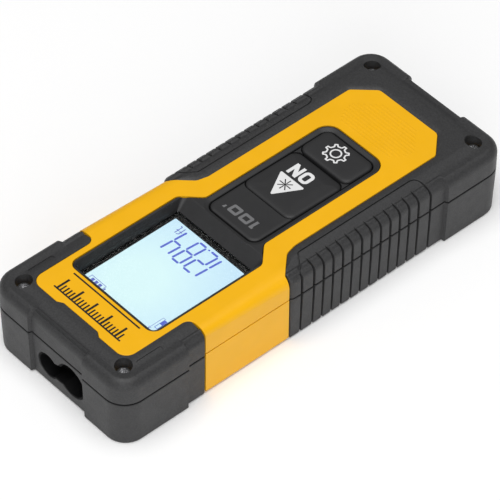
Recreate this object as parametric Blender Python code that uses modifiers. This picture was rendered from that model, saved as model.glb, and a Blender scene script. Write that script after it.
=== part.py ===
"""Laser distance meter: a pocket instrument in a two-part housing with moulded rubber bumpers.

All sizes are in millimetres and the helpers turn them into metres. +Y is the way the laser points,
+Z is up out of the display, and the origin is under the middle, where the corner feet stand.
"""

import math

import bmesh
import bpy
from mathutils import Matrix, Vector

MM = 0.001
GAP = 0.3
ARC_STEPS = 3
ROUND_SIDES = 20

# Overall size, measured over the corner pads.
HALF_LENGTH = 56.45
HALF_WIDTH = 22.15
PAD_PROUD = 0.8
FOOT_HEIGHT = 0.5

# Levels above the surface that the meter stands on.
PARTING = 12.5
RUBBER_PARTING_GAP = 0.4
SHELL_BOTTOM = 0.7
SHELL_TOP = 19.36
CORE_BOTTOM = 1.5
CORE_TOP = 17.4
CEILING = 15.8
FLOOR_LOW = 2.0
FLOOR_HIGH = 2.6
RUBBER_CREST_FRONT = 19.3
RUBBER_CREST_REAR = 19.7

# Rubber bumpers.
CORNER_RADIUS = 5.5
SHOULDER_RADIUS = 2.0
SHOULDER_START = 16.7
FOOT_ROUND = 0.5
DRAFT = 0.42
CREST_INSET = 4.9
FOOT_INNER_X = 9.1
END_RECESS_HALF = 8.55
STEP_RUN = 0.45
FRONT_PAD_END = 37.6
REAR_PAD_END = -38.4

# Housing core that the rubber is moulded onto.
CORE_HALF_WIDTH = 19.6
CORE_HALF_LENGTH = 53.9
CORE_CORNER = 3.9
WALL = 1.6
LIP_THICKNESS = 0.7
LIP_HEIGHT = 0.95

# Bare housing between the bumpers.
SIDE_FACE = 20.9
SIDE_FRONT = 31.9
SIDE_REAR = 7.9
SIDE_CHAMFER_BOTTOM = 16.8
SIDE_CHAMFER_INNER = 17.4
FACE_HALF_FRONT = 15.6
FACE_FRONT = 49.85
NOTCH_FRONT = 49.0
NOTCH_HALF = 5.6
FACE_HALF_REAR = 14.2
FACE_REAR = -46.9
TAIL_HALF = 9.4
TAIL_CHAMFER_START = -41.8
TAIL_HOLLOW_FRONT = -34.5
TAIL_HOLLOW_REAR = -44.5
TAIL_HOLLOW_TOP = 17.7

# Ribbed side grips.
RIB_PITCH = 2.823
RIB_COUNT = 12
FIRST_RIB_Y = 1.0
GRIP_FRONT_EDGE = 4.57
GRIP_REAR_EDGE = -33.7
GROOVE_WIDTH = 0.7
GROOVE_DEPTH = 0.7

# Housing screws, at the four corners.
SCREW_X = 16.5
SCREW_Y = 51.1
SCREW_WELL_RADIUS = 1.95
SLEEVE_RADIUS = 2.3
SLEEVE_BOTTOM = 16.9
SLEEVE_TOP = 18.0
SCREW_HEAD_RADIUS = 1.6
SCREW_HEAD_TOP = 17.2
SCREW_HEAD_BOTTOM = 16.2
SCREW_SHANK_RADIUS = 0.95
SCREW_TIP = 5.0
DRIVE_TIP = 1.0
DRIVE_ROOT = 0.68
DRIVE_DEPTH = 0.6
BOSS_RADIUS = 2.7
BORE_RADIUS = 1.25
BOSS_FLOOR = 4.0
SMALL_SIDES = 12

# Display and keypad surround.
BEZEL_TOP = 19.3
BEZEL_BOTTOM = 14.9
BEZEL_FLANGE_TOP = 15.5
BEZEL_FLANGE = 1.2
BEZEL_HALF = 13.95
BEZEL_FRONT = 40.7
BEZEL_NECK_FRONT = 9.7
BEZEL_NECK_REAR = 5.2
BEZEL_NECK_HALF = 9.5
BEZEL_REAR = -31.4
DISPLAY_LEVEL = 16.9
DISPLAY_HALF = 12.35
DISPLAY_FRONT = 39.3
DISPLAY_REAR = 10.9
DISPLAY_RIM = 0.35
DISPLAY_RAMP_REAR = 8.0
KEY_WELL_HALF = 8.1
KEY_WELL_FRONT = 6.9
KEY_WELL_REAR = -29.9
KEY_WELL_CORNER = 2.4

# Keys.
KEY_TOP = 19.4
KEY_BOTTOM = 16.6
KEY_HALF = 7.8
ON_KEY_FRONT = -3.8
ON_KEY_REAR = -18.9
SETTINGS_KEY_FRONT = -20.6
SETTINGS_KEY_REAR = -29.6
KEY_CORNER = 2.0
STEM_RADIUS = 2.0
STEM_BOTTOM = 15.3
RANGE_PAD_TOP = 19.15
DIVIDER_TOP = 18.7
FRAME_PLATE_TOP = 15.8
FRAME_PLATE_BOTTOM = 15.2
FRAME_PLATE_SPREAD = 0.8

# Display stack under the window.
WINDOW_BOTTOM = 16.3
LCD_BOTTOM = 15.4
LCD_TOP = 16.0
BACKLIGHT_BOTTOM = 14.4
BACKLIGHT_TOP = 15.1
CONNECTOR_HALF = 10.5
CONNECTOR_WIDTH = 1.5

# Circuit board stack.
BOARD_BOTTOM = 13.3
BOARD_TOP = 14.1
BOARD_HALF_WIDTH = 16.6
BOARD_HALF_LENGTH = 47.6
BOARD_SCREW_X = 15.0
BOARD_SCREW_YS = (44.2, -34.6)
BOARD_HOLE_RADIUS = 1.0
DOME_RADIUS = 2.6
DOME_THICKNESS = 0.25
POST_RADIUS = 1.4
POST_HOLE_RADIUS = 0.8
CHIP_HALF = 4.5
CHIP_Y = 22.0
CHIP_BOTTOM = 12.0
BUZZER_X = 9.5
BUZZER_Y = 11.0

# Optics, seen through the aperture in the front face.
RECEIVER_X = -4.0
RECEIVER_Z = 6.8
RECEIVER_APERTURE = 4.4
LASER_X = 3.7
LASER_Z = 5.7
LASER_APERTURE = 3.3
NOSE_WALL = 0.3
NOSE_FRONT = 55.2
OPTICS_LEFT = -9.4
OPTICS_RIGHT = 8.4
OPTICS_TOP = 11.7
OPTICS_FRONT = 51.6
OPTICS_REAR = 30.0
LENS_Y = 49.2
RECEIVER_BORE = 3.9
RECEIVER_BORE_REAR = 34.5
RECEIVER_LIGHT_BORE = 2.2
LASER_BORE = 2.4
DIODE_Y = 33.0
SENSOR_BOARD_LEFT = -9.0
SENSOR_BOARD_RIGHT = 1.0
SENSOR_BOARD_REAR = 28.7
SENSOR_BOARD_FRONT = 29.7
SENSOR_BOARD_BOTTOM = 3.0
SENSOR_BOARD_TOP = 11.0
OPTICS_SCREW_XS = (-8.0, 0.0)
OPTICS_SCREW_Z = 10.0
OPTICS_HOLE_RADIUS = 0.85

# Two AAA cells and their door.
CELL_RADIUS = 5.25
CELL_BODY = 43.7
NUB_RADIUS = 1.9
NUB_HEIGHT = 0.8
CELL_X = 5.6
CELL_Z = 7.55
CELL_REAR = -46.3
CELL_FRONT = CELL_REAR + CELL_BODY + NUB_HEIGHT
CONTACT_THICKNESS = 0.3
CONTACT_INNER = 2.0
CONTACT_OUTER = 9.2
CONTACT_BOTTOM = 4.0
CONTACT_TOP = 11.2
FRONT_CONTACT_Y = 2.2
REAR_CONTACT_Y = -50.0
SPRING_TURNS = 3.5
SPRING_STEPS = 12
SPRING_LENGTH = 1.9
SPRING_WIRE = 0.2
SPRING_WIDE = 3.0
SPRING_NARROW = 1.7
BAY_HALF = 12.4
BAY_WALL = 1.2
BAY_WALL_REAR = 3.2
BAY_WALL_TOP = 12.0
REAR_RIB_HALF = 10.6
REAR_RIB_REAR = -51.3
REAR_RIB_TOP = 11.0
DOOR_HALF = 11.6
DOOR_REAR = -43.5
DOOR_FRONT = 1.5
DOOR_TOP = 2.0
HINGE_Y = 0.85
HINGE_Z = 1.35
THUMB_HALF = 4.0
CATCH_HALF = 3.5

# Blank label under the front half.
LABEL_HALF = 10.0
LABEL_FRONT = 29.0
LABEL_REAR = 8.0
LABEL_BOTTOM = 0.75
LABEL_TOP = 1.0

# Cutters reach this far past the outside, in each direction.
BEYOND_X = 30
BEYOND_Y = 70
BEYOND_Z = 25

# Shells whose many cutters meet edge on edge, where the exact solver leaves open edges.
MANIFOLD_SHELLS = (
    "top_housing",
    "bottom_housing",
    "front_bumper_top",
    "front_bumper_bottom",
    "rear_grip_top",
    "rear_grip_bottom",
    "lip_outside",
    "rubber_aperture",
    "housing_aperture",
    "nose",
    "nose_way",
)

YELLOW = (0.83, 0.42, 0.012)
RUBBER = (0.045, 0.045, 0.047)
DARK_PLASTIC = (0.038, 0.038, 0.04)
KEY_GREY = (0.034, 0.034, 0.036)
BLACK = (0.008, 0.008, 0.009)
STEEL = (0.55, 0.55, 0.56)
BRASS = (0.75, 0.55, 0.22)
BOARD_GREEN = (0.02, 0.16, 0.06)


# ---------------------------------------------------------------- scene and materials


def clear_scene():
    for leftover in list(bpy.data.objects):
        bpy.data.objects.remove(leftover, do_unlink=True)


def new_collection(name):
    collection = bpy.data.collections.new(name)
    bpy.context.scene.collection.children.link(collection)
    return collection


def material(name, colour, roughness, metallic=0.0, alpha=1.0):
    made = bpy.data.materials.new(name)
    made.use_nodes = True
    shader = made.node_tree.nodes["Principled BSDF"]
    shader.inputs["Base Color"].default_value = (*colour, 1.0)
    shader.inputs["Roughness"].default_value = roughness
    shader.inputs["Metallic"].default_value = metallic
    shader.inputs["Alpha"].default_value = alpha
    return made


# ---------------------------------------------------------------- outlines in one plane


def rounded(corners, steps=ARC_STEPS):
    """The closed outline through (x, y, radius) corners, with an arc where there is a radius."""
    points = []
    for index, (x, y, radius) in enumerate(corners):
        corner = Vector((x, y))
        if radius == 0:
            points.append(corner)
            continue
        before = (Vector(corners[index - 1][:2]) - corner).normalized()
        after = (Vector(corners[(index + 1) % len(corners)][:2]) - corner).normalized()
        half_angle = before.angle(after) / 2
        centre = corner + (before + after).normalized() * radius / math.sin(half_angle)
        start = corner + before * radius / math.tan(half_angle) - centre
        end = corner + after * radius / math.tan(half_angle) - centre
        first = math.atan2(start.y, start.x)
        sweep = (math.atan2(end.y, end.x) - first + math.pi) % math.tau - math.pi
        for step in range(steps + 1):
            angle = first + sweep * step / steps
            points.append(centre + radius * unit(angle))
    return points


def unit(angle):
    return Vector((math.cos(angle), math.sin(angle)))


def both_sides(right_half):
    """The corners of a shape that is the same on both sides of x = 0, from those of its +X half."""
    return right_half + [(-x, y, radius) for x, y, radius in reversed(right_half)]


def inset(outline, distance):
    """The outline moved inwards by a distance, or outwards by a negative one, point for point."""
    area = sum(
        outline[index - 1].x * point.y - point.x * outline[index - 1].y
        for index, point in enumerate(outline)
    )
    side = math.copysign(1.0, area)
    moved = []
    for index, point in enumerate(outline):
        arriving = (point - outline[index - 1]).normalized()
        leaving = (outline[(index + 1) % len(outline)] - point).normalized()
        first = side * Vector((-arriving.y, arriving.x))
        second = side * Vector((-leaving.y, leaving.x))
        moved.append(point + (first + second) * distance / (1 + first.dot(second)))
    return moved


def rectangle(half_width, front, rear, radius):
    return rounded(both_sides([(half_width, front, radius), (half_width, rear, radius)]))


def rubber_outline(proud):
    """The outer edge of the rubber. The corner pads stand out from it by the given amount."""
    side = HALF_WIDTH - PAD_PROUD
    end = HALF_LENGTH - PAD_PROUD
    corner = CORNER_RADIUS
    return rounded(
        both_sides(
            [
                (END_RECESS_HALF, end, 0),
                (END_RECESS_HALF + STEP_RUN, end + proud, 0),
                (side + proud, end + proud, corner),
                (side + proud, FRONT_PAD_END, 0),
                (side, FRONT_PAD_END - STEP_RUN, 0),
                (side, REAR_PAD_END + STEP_RUN, 0),
                (side + proud, REAR_PAD_END, 0),
                (side + proud, -end - proud, corner),
                (END_RECESS_HALF + STEP_RUN, -end - proud, 0),
                (END_RECESS_HALF, -end, 0),
            ]
        )
    )


def core_outline():
    return rectangle(CORE_HALF_WIDTH, CORE_HALF_LENGTH, -CORE_HALF_LENGTH, CORE_CORNER)


def face_outline():
    """The bare housing between the bumpers, seen from above, out to its side faces."""
    return rounded(
        both_sides(
            [
                (NOTCH_HALF, NOTCH_FRONT, 0.5),
                (NOTCH_HALF + 1.4, FACE_FRONT, 0.5),
                (FACE_HALF_FRONT, FACE_FRONT, 2.8),
                (FACE_HALF_FRONT, SIDE_FRONT, 2.0),
                (SIDE_FACE, SIDE_FRONT, 0),
                (SIDE_FACE, SIDE_REAR, 0),
                (19.4, SIDE_REAR, 0.8),
                (14.9, 3.2, 1.5),
                (FACE_HALF_REAR, 0.4, 1.0),
                (FACE_HALF_REAR, TAIL_CHAMFER_START, 1.2),
                (TAIL_HALF, FACE_REAR, 1.6),
            ]
        )
    )


def bezel_outline():
    return rounded(
        both_sides(
            [
                (BEZEL_HALF, BEZEL_FRONT, 2.2),
                (BEZEL_HALF, BEZEL_NECK_FRONT, 0.9),
                (BEZEL_NECK_HALF, BEZEL_NECK_REAR, 0.9),
                (BEZEL_NECK_HALF, BEZEL_REAR, 3.6),
            ]
        )
    )


def disc_outline(x, z, radius, sides=ROUND_SIDES):
    return [Vector((x, z)) + radius * unit(math.tau * k / sides) for k in range(sides)]


# ---------------------------------------------------------------- solids


def link(name, mesh, collection, look=None):
    made = bpy.data.objects.new(name, mesh)
    collection.objects.link(made)
    if look is not None:
        mesh.materials.append(look)
    mesh.shade_smooth()
    mesh.set_sharp_from_angle(angle=math.radians(35))
    if collection is CUTTERS:
        made.hide_render = True
        made.display_type = "WIRE"
    return made


def faces_out(mesh):
    shape = bmesh.new()
    shape.from_mesh(mesh)
    bmesh.ops.remove_doubles(shape, verts=shape.verts, dist=MM * 0.001)
    bmesh.ops.recalc_face_normals(shape, faces=shape.faces)
    shape.to_mesh(mesh)
    shape.free()


def prism(name, outline, bottom, top, collection, look=None):
    """An upright solid with a flat outline: a filled, extruded 2D curve made into a mesh."""
    curve = bpy.data.curves.new(name, "CURVE")
    curve.dimensions = "2D"
    curve.fill_mode = "BOTH"
    curve.extrude = (top - bottom) / 2 * MM
    spline = curve.splines.new("POLY")
    spline.points.add(len(outline) - 1)
    spline.use_cyclic_u = True
    for point, place in zip(spline.points, outline):
        point.co = (place.x * MM, place.y * MM, 0.0, 1.0)
    drawn = bpy.data.objects.new(name, curve)
    bpy.context.scene.collection.objects.link(drawn)
    bpy.context.view_layer.update()
    mesh = bpy.data.meshes.new_from_object(drawn.evaluated_get(bpy.context.evaluated_depsgraph_get()))
    bpy.data.objects.remove(drawn, do_unlink=True)
    bpy.data.curves.remove(curve)
    mesh.transform(Matrix.Translation((0, 0, (top + bottom) / 2 * MM)))
    faces_out(mesh)
    return link(name, mesh, collection, look)


def front_prism(name, outline, rear, front, collection, look=None):
    """A solid with an outline in x and z, running from rear to front along y."""
    made = prism(name, outline, -front, -rear, collection, look)
    made.data.transform(Matrix.Rotation(math.pi / 2, 4, "X"))
    return made


def box(name, low, high, collection, look=None):
    shape = bmesh.new()
    bmesh.ops.create_cube(shape, size=1.0)
    size = [(upper - lower) * MM for lower, upper in zip(low, high)]
    middle = [(upper + lower) / 2 * MM for lower, upper in zip(low, high)]
    bmesh.ops.scale(shape, vec=size, verts=shape.verts)
    bmesh.ops.translate(shape, vec=middle, verts=shape.verts)
    mesh = bpy.data.meshes.new(name)
    shape.to_mesh(mesh)
    shape.free()
    return link(name, mesh, collection, look)


def loft(name, rings, collection, look=None):
    """A closed solid through level rings of (x, y, z) that have the same number of points."""
    shape = bmesh.new()
    placed = [[shape.verts.new(Vector(point) * MM) for point in ring] for ring in rings]
    for lower, upper in zip(placed, placed[1:]):
        for index in range(len(lower)):
            shape.faces.new((lower[index - 1], lower[index], upper[index], upper[index - 1]))
    shape.faces.new(placed[0])
    shape.faces.new(placed[-1])
    bmesh.ops.recalc_face_normals(shape, faces=shape.faces)
    mesh = bpy.data.meshes.new(name)
    shape.to_mesh(mesh)
    shape.free()
    return link(name, mesh, collection, look)


def turned(name, profile, collection, look=None, sides=ROUND_SIDES):
    """A turned solid about z from (radius, z) points that run down its outer side."""
    mesh = bpy.data.meshes.new(name)
    points = [(radius * MM, 0.0, height * MM) for radius, height in profile]
    mesh.from_pydata(points, [(k, k + 1) for k in range(len(points) - 1)], [])
    made = link(name, mesh, collection, look)
    screw = made.modifiers.new("turn", "SCREW")
    screw.steps = sides
    screw.render_steps = sides
    screw.use_merge_vertices = True
    screw.merge_threshold = 0.00001
    return made


def place(made, x, y, z, turn=None):
    """Puts an object at (x, y, z), turned by (angle, axis) if one is given."""
    rotation = Matrix.Rotation(turn[0], 4, turn[1]) if turn else Matrix()
    made.matrix_world = Matrix.Translation((x * MM, y * MM, z * MM)) @ rotation
    return made


def boolean(made, other, operation):
    step = made.modifiers.new(other.name, "BOOLEAN")
    step.operation = operation
    step.object = other
    step.solver = "MANIFOLD" if made.name in MANIFOLD_SHELLS else "EXACT"


def cut(made, *cutters):
    for cutter in cutters:
        boolean(made, cutter, "DIFFERENCE")


def join(made, *others):
    for other in others:
        boolean(made, other, "UNION")


def bevel(made, width, segments=2, angle=40):
    step = made.modifiers.new("rounded edges", "BEVEL")
    step.width = width * MM
    step.segments = segments
    step.limit_method = "ANGLE"
    step.angle_limit = math.radians(angle)
    return step


# ---------------------------------------------------------------- rubber bumpers and grips


def level_ring(outline, distance, height):
    return [(point.x, point.y, height) for point in inset(outline, distance)]


def shoulder_rings(crest):
    """The rings of the rubber's upper outside: wall, rounded shoulder, then a slope up to the crest."""
    outline = rubber_outline(PAD_PROUD)
    rings = [level_ring(outline, 0, SHOULDER_START)]
    for step in range(1, ARC_STEPS + 1):
        angle = math.pi / 2 * step / ARC_STEPS
        distance = SHOULDER_RADIUS * (1 - math.cos(angle))
        rings.append(level_ring(outline, distance, SHOULDER_START + SHOULDER_RADIUS * math.sin(angle)))
    rings.append(level_ring(rubber_outline(0.0), CREST_INSET, crest))
    return rings


def rubber_top_envelope(name, crest, look):
    """The rubber's upper outside, before the housing and the screw wells are cut from it."""
    bottom = PARTING + RUBBER_PARTING_GAP / 2
    rings = [level_ring(rubber_outline(PAD_PROUD), 0, bottom)] + shoulder_rings(crest)
    return loft(name, rings, PARTS, look)


def rubber_bottom_envelope(name, look):
    """The rubber's lower outside: a rounded foot, then a wall that leans out by the draft."""
    outline = rubber_outline(PAD_PROUD)
    rings = []
    for step in range(ARC_STEPS + 1):
        angle = math.pi / 2 * step / ARC_STEPS
        distance = DRAFT + FOOT_ROUND * (1 - math.sin(angle))
        rings.append(level_ring(outline, distance, FOOT_ROUND * (1 - math.cos(angle))))
    rings.append(level_ring(outline, 0, PARTING - RUBBER_PARTING_GAP / 2))
    return loft(name, rings, PARTS, look)


def groove_section():
    """The section of one grip groove in x and z: the space outside the groove's floor."""
    outside = HALF_WIDTH + 1.0
    above = SHELL_TOP + 1.0
    floor = HALF_WIDTH - PAD_PROUD - GROOVE_DEPTH
    centre = HALF_WIDTH - PAD_PROUD - SHOULDER_RADIUS
    inner = centre - 1.2
    points = [Vector((outside, -1.0)), Vector((outside, above)), Vector((inner, above))]
    points.append(Vector((inner, SHOULDER_START + SHOULDER_RADIUS + 0.2)))
    for step in range(ARC_STEPS + 1):
        angle = math.pi / 2 * (1 - step / ARC_STEPS)
        points.append(Vector((centre, SHOULDER_START)) + (floor - centre) * unit(angle))
    points.append(Vector((floor, PARTING)))
    points.append(Vector((floor - DRAFT, 0.0)))
    points.append(Vector((floor - DRAFT, -1.0)))
    return points


def groove_cutters():
    """Every grip groove on both sides: a repeated row, and a wider groove at each end of the panel."""
    half = GROOVE_WIDTH / 2
    row = front_prism("groove_row", groove_section(), FIRST_RIB_Y - half, FIRST_RIB_Y + half, CUTTERS)
    repeat = row.modifiers.new("repeat", "ARRAY")
    repeat.count = RIB_COUNT
    repeat.use_relative_offset = False
    repeat.use_constant_offset = True
    repeat.constant_offset_displace = (0, -RIB_PITCH * MM, 0)
    ends = [
        front_prism(name, groove_section(), y - half, y + half, CUTTERS)
        for name, y in (("groove_front", GRIP_FRONT_EDGE), ("groove_rear", GRIP_REAR_EDGE))
    ]
    for cutter in [row, *ends]:
        mirror = cutter.modifiers.new("other side", "MIRROR")
        mirror.merge_threshold = 0.0001
    return [row, *ends]


def make_rubber():
    rubber = material("grip_rubber", RUBBER, 0.75)
    face = inset(face_outline(), -GAP)
    core = inset(core_outline(), -GAP)
    tall = prism("face_clearance", face, -1, BEYOND_Z, CUTTERS)
    upper_core = prism("upper_core_clearance", core, BOSS_FLOOR, CORE_TOP + GAP, CUTTERS)
    lower_core = prism("lower_core_clearance", core, CORE_BOTTOM - GAP, CORE_TOP, CUTTERS)
    middle = (SIDE_FRONT + SIDE_REAR) / 2
    ahead = box("ahead_of_middle", (-BEYOND_X, middle, -5), (BEYOND_X, BEYOND_Y, BEYOND_Z), CUTTERS)
    behind = box("behind_middle", (-BEYOND_X, -BEYOND_Y, -5), (BEYOND_X, middle, BEYOND_Z), CUTTERS)
    window = box(
        "side_window",
        (-BEYOND_X, SIDE_REAR - GAP, -1),
        (BEYOND_X, SIDE_FRONT + GAP, BEYOND_Z),
        CUTTERS,
    )
    feet_apart = [
        box(
            "between_feet_x",
            (-FOOT_INNER_X, -BEYOND_Y, -2),
            (FOOT_INNER_X, BEYOND_Y, FOOT_HEIGHT),
            CUTTERS,
        ),
        box(
            "between_feet_y",
            (-BEYOND_X, REAR_PAD_END, -2),
            (BEYOND_X, FRONT_PAD_END, FOOT_HEIGHT),
            CUTTERS,
        ),
    ]
    wells = {place: screw_well(*place) for place in corners()}
    grooves = groove_cutters()

    front_top = rubber_top_envelope("front_bumper_top", RUBBER_CREST_FRONT, rubber)
    cut(front_top, behind, window, tall, upper_core)
    rear_top = rubber_top_envelope("rear_grip_top", RUBBER_CREST_REAR, rubber)
    cut(rear_top, ahead, window, tall, upper_core, *grooves)
    for (x, y), well in wells.items():
        lined = front_top if y > 0 else rear_top
        join(lined, well_sleeve(x, y, 0.0))
        cut(lined, well)

    opening = aperture("rubber_aperture", 0.0, CORE_HALF_LENGTH - WALL, HALF_LENGTH + 2)
    front_bottom = rubber_bottom_envelope("front_bumper_bottom", rubber)
    cut(front_bottom, behind, window, tall, lower_core, *feet_apart, opening)
    rear_bottom = rubber_bottom_envelope("rear_grip_bottom", rubber)
    cut(rear_bottom, ahead, window, tall, lower_core, *feet_apart, *grooves)


def corners():
    return [(x, y) for x in (-SCREW_X, SCREW_X) for y in (-SCREW_Y, SCREW_Y)]


def corner_name(x, y):
    return f"{'front' if y > 0 else 'rear'}_{'right' if x > 0 else 'left'}"


def screw_well(x, y):
    well = disc_outline(x, y, SCREW_WELL_RADIUS, 16)
    return prism(f"screw_well_{corner_name(x, y)}", well, SCREW_HEAD_BOTTOM - GAP, BEYOND_Z, CUTTERS)


def well_sleeve(x, y, spread):
    """The rubber that lines a screw's well, or with a spread the counterbore in the housing for it."""
    name = f"sleeve_{corner_name(x, y)}_{spread}"
    return post(name, x, y, SLEEVE_RADIUS + spread, SLEEVE_BOTTOM - spread, SLEEVE_TOP + spread)


def aperture(name, spread, rear, front):
    """The opening in the front face: a large and a small disc joined by a neck, grown by the spread."""
    large = disc_outline(RECEIVER_X, RECEIVER_Z, RECEIVER_APERTURE + spread)
    small = disc_outline(LASER_X, LASER_Z, LASER_APERTURE + spread)
    neck_left = RECEIVER_X + 2.0
    neck_right = LASER_X - 1.5
    neck = [
        Vector((neck_left, RECEIVER_Z + 2.6)),
        Vector((neck_left, RECEIVER_Z - 3.2)),
        Vector((neck_right, LASER_Z - 2.4)),
        Vector((neck_right, LASER_Z + 2.3)),
    ]
    made = front_prism(name, large, rear, front, CUTTERS)
    join(
        made,
        front_prism(f"{name}_small", small, rear, front, CUTTERS),
        front_prism(f"{name}_neck", inset(neck, -spread), rear, front, CUTTERS),
    )
    return made


# ---------------------------------------------------------------- housing


def side_chamfer(name, side):
    section = [
        Vector((side * (SIDE_FACE + 0.1), SIDE_CHAMFER_BOTTOM)),
        Vector((side * (SIDE_FACE - 0.5), SIDE_CHAMFER_BOTTOM + 1.1)),
        Vector((side * (SIDE_CHAMFER_INNER + 0.9), SHELL_TOP - 0.3)),
        Vector((side * SIDE_CHAMFER_INNER, SHELL_TOP + 0.1)),
        Vector((side * (SIDE_FACE + 2), SHELL_TOP + 0.1)),
        Vector((side * (SIDE_FACE + 2), SIDE_CHAMFER_BOTTOM)),
    ]
    return front_prism(name, section, SIDE_REAR - 0.2, SIDE_FRONT + 0.2, CUTTERS)


def post(name, x, y, radius, bottom, top):
    return prism(name, disc_outline(x, y, radius, SMALL_SIDES), bottom, top, CUTTERS)


def make_top_housing():
    yellow = material("housing_yellow", YELLOW, 0.45)
    housing = prism("top_housing", core_outline(), BOSS_FLOOR, CORE_TOP, PARTS, yellow)
    plateau = prism("plateau", face_outline(), BOSS_FLOOR - 1, SHELL_TOP, CUTTERS)
    below = box(
        "below_parting", (-BEYOND_X, -BEYOND_Y, 0), (BEYOND_X, BEYOND_Y, PARTING + GAP / 2), CUTTERS
    )
    cavity = prism("upper_cavity", inset(core_outline(), WALL), PARTING - 2, CEILING, CUTTERS)
    hollow_outline = rectangle(TAIL_HALF - 0.4, TAIL_HOLLOW_FRONT, TAIL_HOLLOW_REAR, 1.0)
    tail_hollow = prism("tail_hollow", hollow_outline, PARTING, TAIL_HOLLOW_TOP, CUTTERS)
    groove_inset = WALL - LIP_THICKNESS - GAP
    groove_top = PARTING + LIP_HEIGHT + GAP
    groove = prism("lip_groove", inset(core_outline(), groove_inset), PARTING - 2, groove_top, CUTTERS)
    opening = prism("bezel_opening", inset(bezel_outline(), -GAP), CEILING - 1, BEYOND_Z, CUTTERS)
    join(housing, plateau)
    cut(housing, side_chamfer("chamfer_right", 1), side_chamfer("chamfer_left", -1))
    cut(housing, cavity, tail_hollow, groove, opening)
    ceiling_root = CEILING + 0.8
    for x, y in corners():
        boss = post(f"upper_boss_{corner_name(x, y)}", x, y, BOSS_RADIUS, groove_top, ceiling_root)
        join(housing, boss)
    for number, (x, y) in enumerate(board_screw_places()):
        join(housing, post(f"board_post_{number}", x, y, POST_RADIUS, BOARD_TOP + GAP, ceiling_root))
        cut(housing, post(f"board_post_hole_{number}", x, y, POST_HOLE_RADIUS, BOARD_TOP, CEILING + 0.4))
    for x, y in corners():
        name = corner_name(x, y)
        cut(housing, post(f"upper_bore_{name}", x, y, BORE_RADIUS, PARTING - 2, SCREW_HEAD_TOP))
        cut(housing, bpy.data.objects[f"screw_well_{name}"], well_sleeve(x, y, GAP))
    cut(housing, below)


def make_bottom_housing():
    yellow = material("housing_yellow_lower", YELLOW, 0.45)
    end = PARTING - GAP / 2
    housing = prism("bottom_housing", core_outline(), CORE_BOTTOM, CEILING, PARTS, yellow)
    plateau = prism("lower_plateau", face_outline(), SHELL_BOTTOM, CEILING - 1, CUTTERS)
    above_low = (-BEYOND_X, -BEYOND_Y, PARTING + LIP_HEIGHT)
    above = box("above_lip", above_low, (BEYOND_X, BEYOND_Y, BEYOND_Z), CUTTERS)
    rebate = prism("lip_outside", rectangle(BEYOND_X, BEYOND_Y, -BEYOND_Y, 1), end, BEYOND_Z, CUTTERS)
    lip_outline = inset(core_outline(), WALL - LIP_THICKNESS)
    cut(rebate, prism("lip", lip_outline, PARTING - 2, BEYOND_Z + 1, CUTTERS))
    cavity = prism("lower_cavity", inset(core_outline(), WALL), FLOOR_HIGH, BEYOND_Z, CUTTERS)
    deep_outline = rectangle(BAY_HALF, OPTICS_FRONT + 0.5, CELL_REAR - GAP, 1.0)
    deep = prism("deep_cavity", deep_outline, FLOOR_LOW, BEYOND_Z, CUTTERS)
    door_outline = rectangle(DOOR_HALF + GAP, DOOR_FRONT + 0.4, DOOR_REAR - GAP, 1.0)
    door_way = prism("door_way", door_outline, -1, DOOR_TOP + 3, CUTTERS)
    seat_outline = rectangle(LABEL_HALF + GAP, LABEL_FRONT + GAP, LABEL_REAR - GAP, 0.8)
    label_seat = prism("label_seat", seat_outline, -1, LABEL_TOP + GAP, CUTTERS)
    opening = aperture("housing_aperture", 0.0, OPTICS_FRONT - 1, HALF_LENGTH + 2)
    join(housing, plateau)
    cut(housing, cavity, above, rebate)
    for x, y in corners():
        boss = post(f"lower_boss_{corner_name(x, y)}", x, y, BOSS_RADIUS, FLOOR_HIGH - 0.5, end - GAP)
        join(housing, boss)
    cut(housing, deep, door_way, label_seat, opening)
    wall_bottom = FLOOR_LOW - 0.4
    wall_half = BAY_HALF + 0.2
    bay_wall = box(
        "bay_wall",
        (-wall_half, BAY_WALL_REAR, wall_bottom),
        (wall_half, BAY_WALL_REAR + BAY_WALL, BAY_WALL_TOP),
        CUTTERS,
    )
    rear_rib = box(
        "rear_rib",
        (-REAR_RIB_HALF, REAR_RIB_REAR, FLOOR_HIGH - 0.4),
        (REAR_RIB_HALF, REAR_RIB_REAR + 1.0, REAR_RIB_TOP),
        CUTTERS,
    )
    join(housing, bay_wall, rear_rib)
    for x, y in corners():
        cut(housing, post(f"lower_bore_{corner_name(x, y)}", x, y, BORE_RADIUS, BOSS_FLOOR, CEILING))


def make_housing_screws():
    steel = material("screw_steel", (0.06, 0.06, 0.062), 0.4, metallic=0.9)
    height = SCREW_HEAD_TOP - SCREW_HEAD_BOTTOM
    shank_end = SCREW_TIP - SCREW_HEAD_BOTTOM
    drive = [radius * unit(math.pi * k / 6) for k, radius in enumerate((DRIVE_TIP, DRIVE_ROOT) * 6)]
    for x, y in corners():
        name = corner_name(x, y)
        screw = turned(
            f"housing_screw_{name}",
            [
                (0.0, height),
                (SCREW_HEAD_RADIUS - 0.3, height),
                (SCREW_HEAD_RADIUS, height - 0.3),
                (SCREW_HEAD_RADIUS, 0.0),
                (SCREW_SHANK_RADIUS, 0.0),
                (SCREW_SHANK_RADIUS, shank_end + 0.6),
                (0.0, shank_end),
            ],
            PARTS,
            steel,
            sides=16,
        )
        socket = prism(f"drive_{name}", drive, height - DRIVE_DEPTH, height + 1, CUTTERS)
        for piece in (screw, socket):
            place(piece, x, y, SCREW_HEAD_BOTTOM)
        cut(screw, socket)


# ---------------------------------------------------------------- display and keypad


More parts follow.
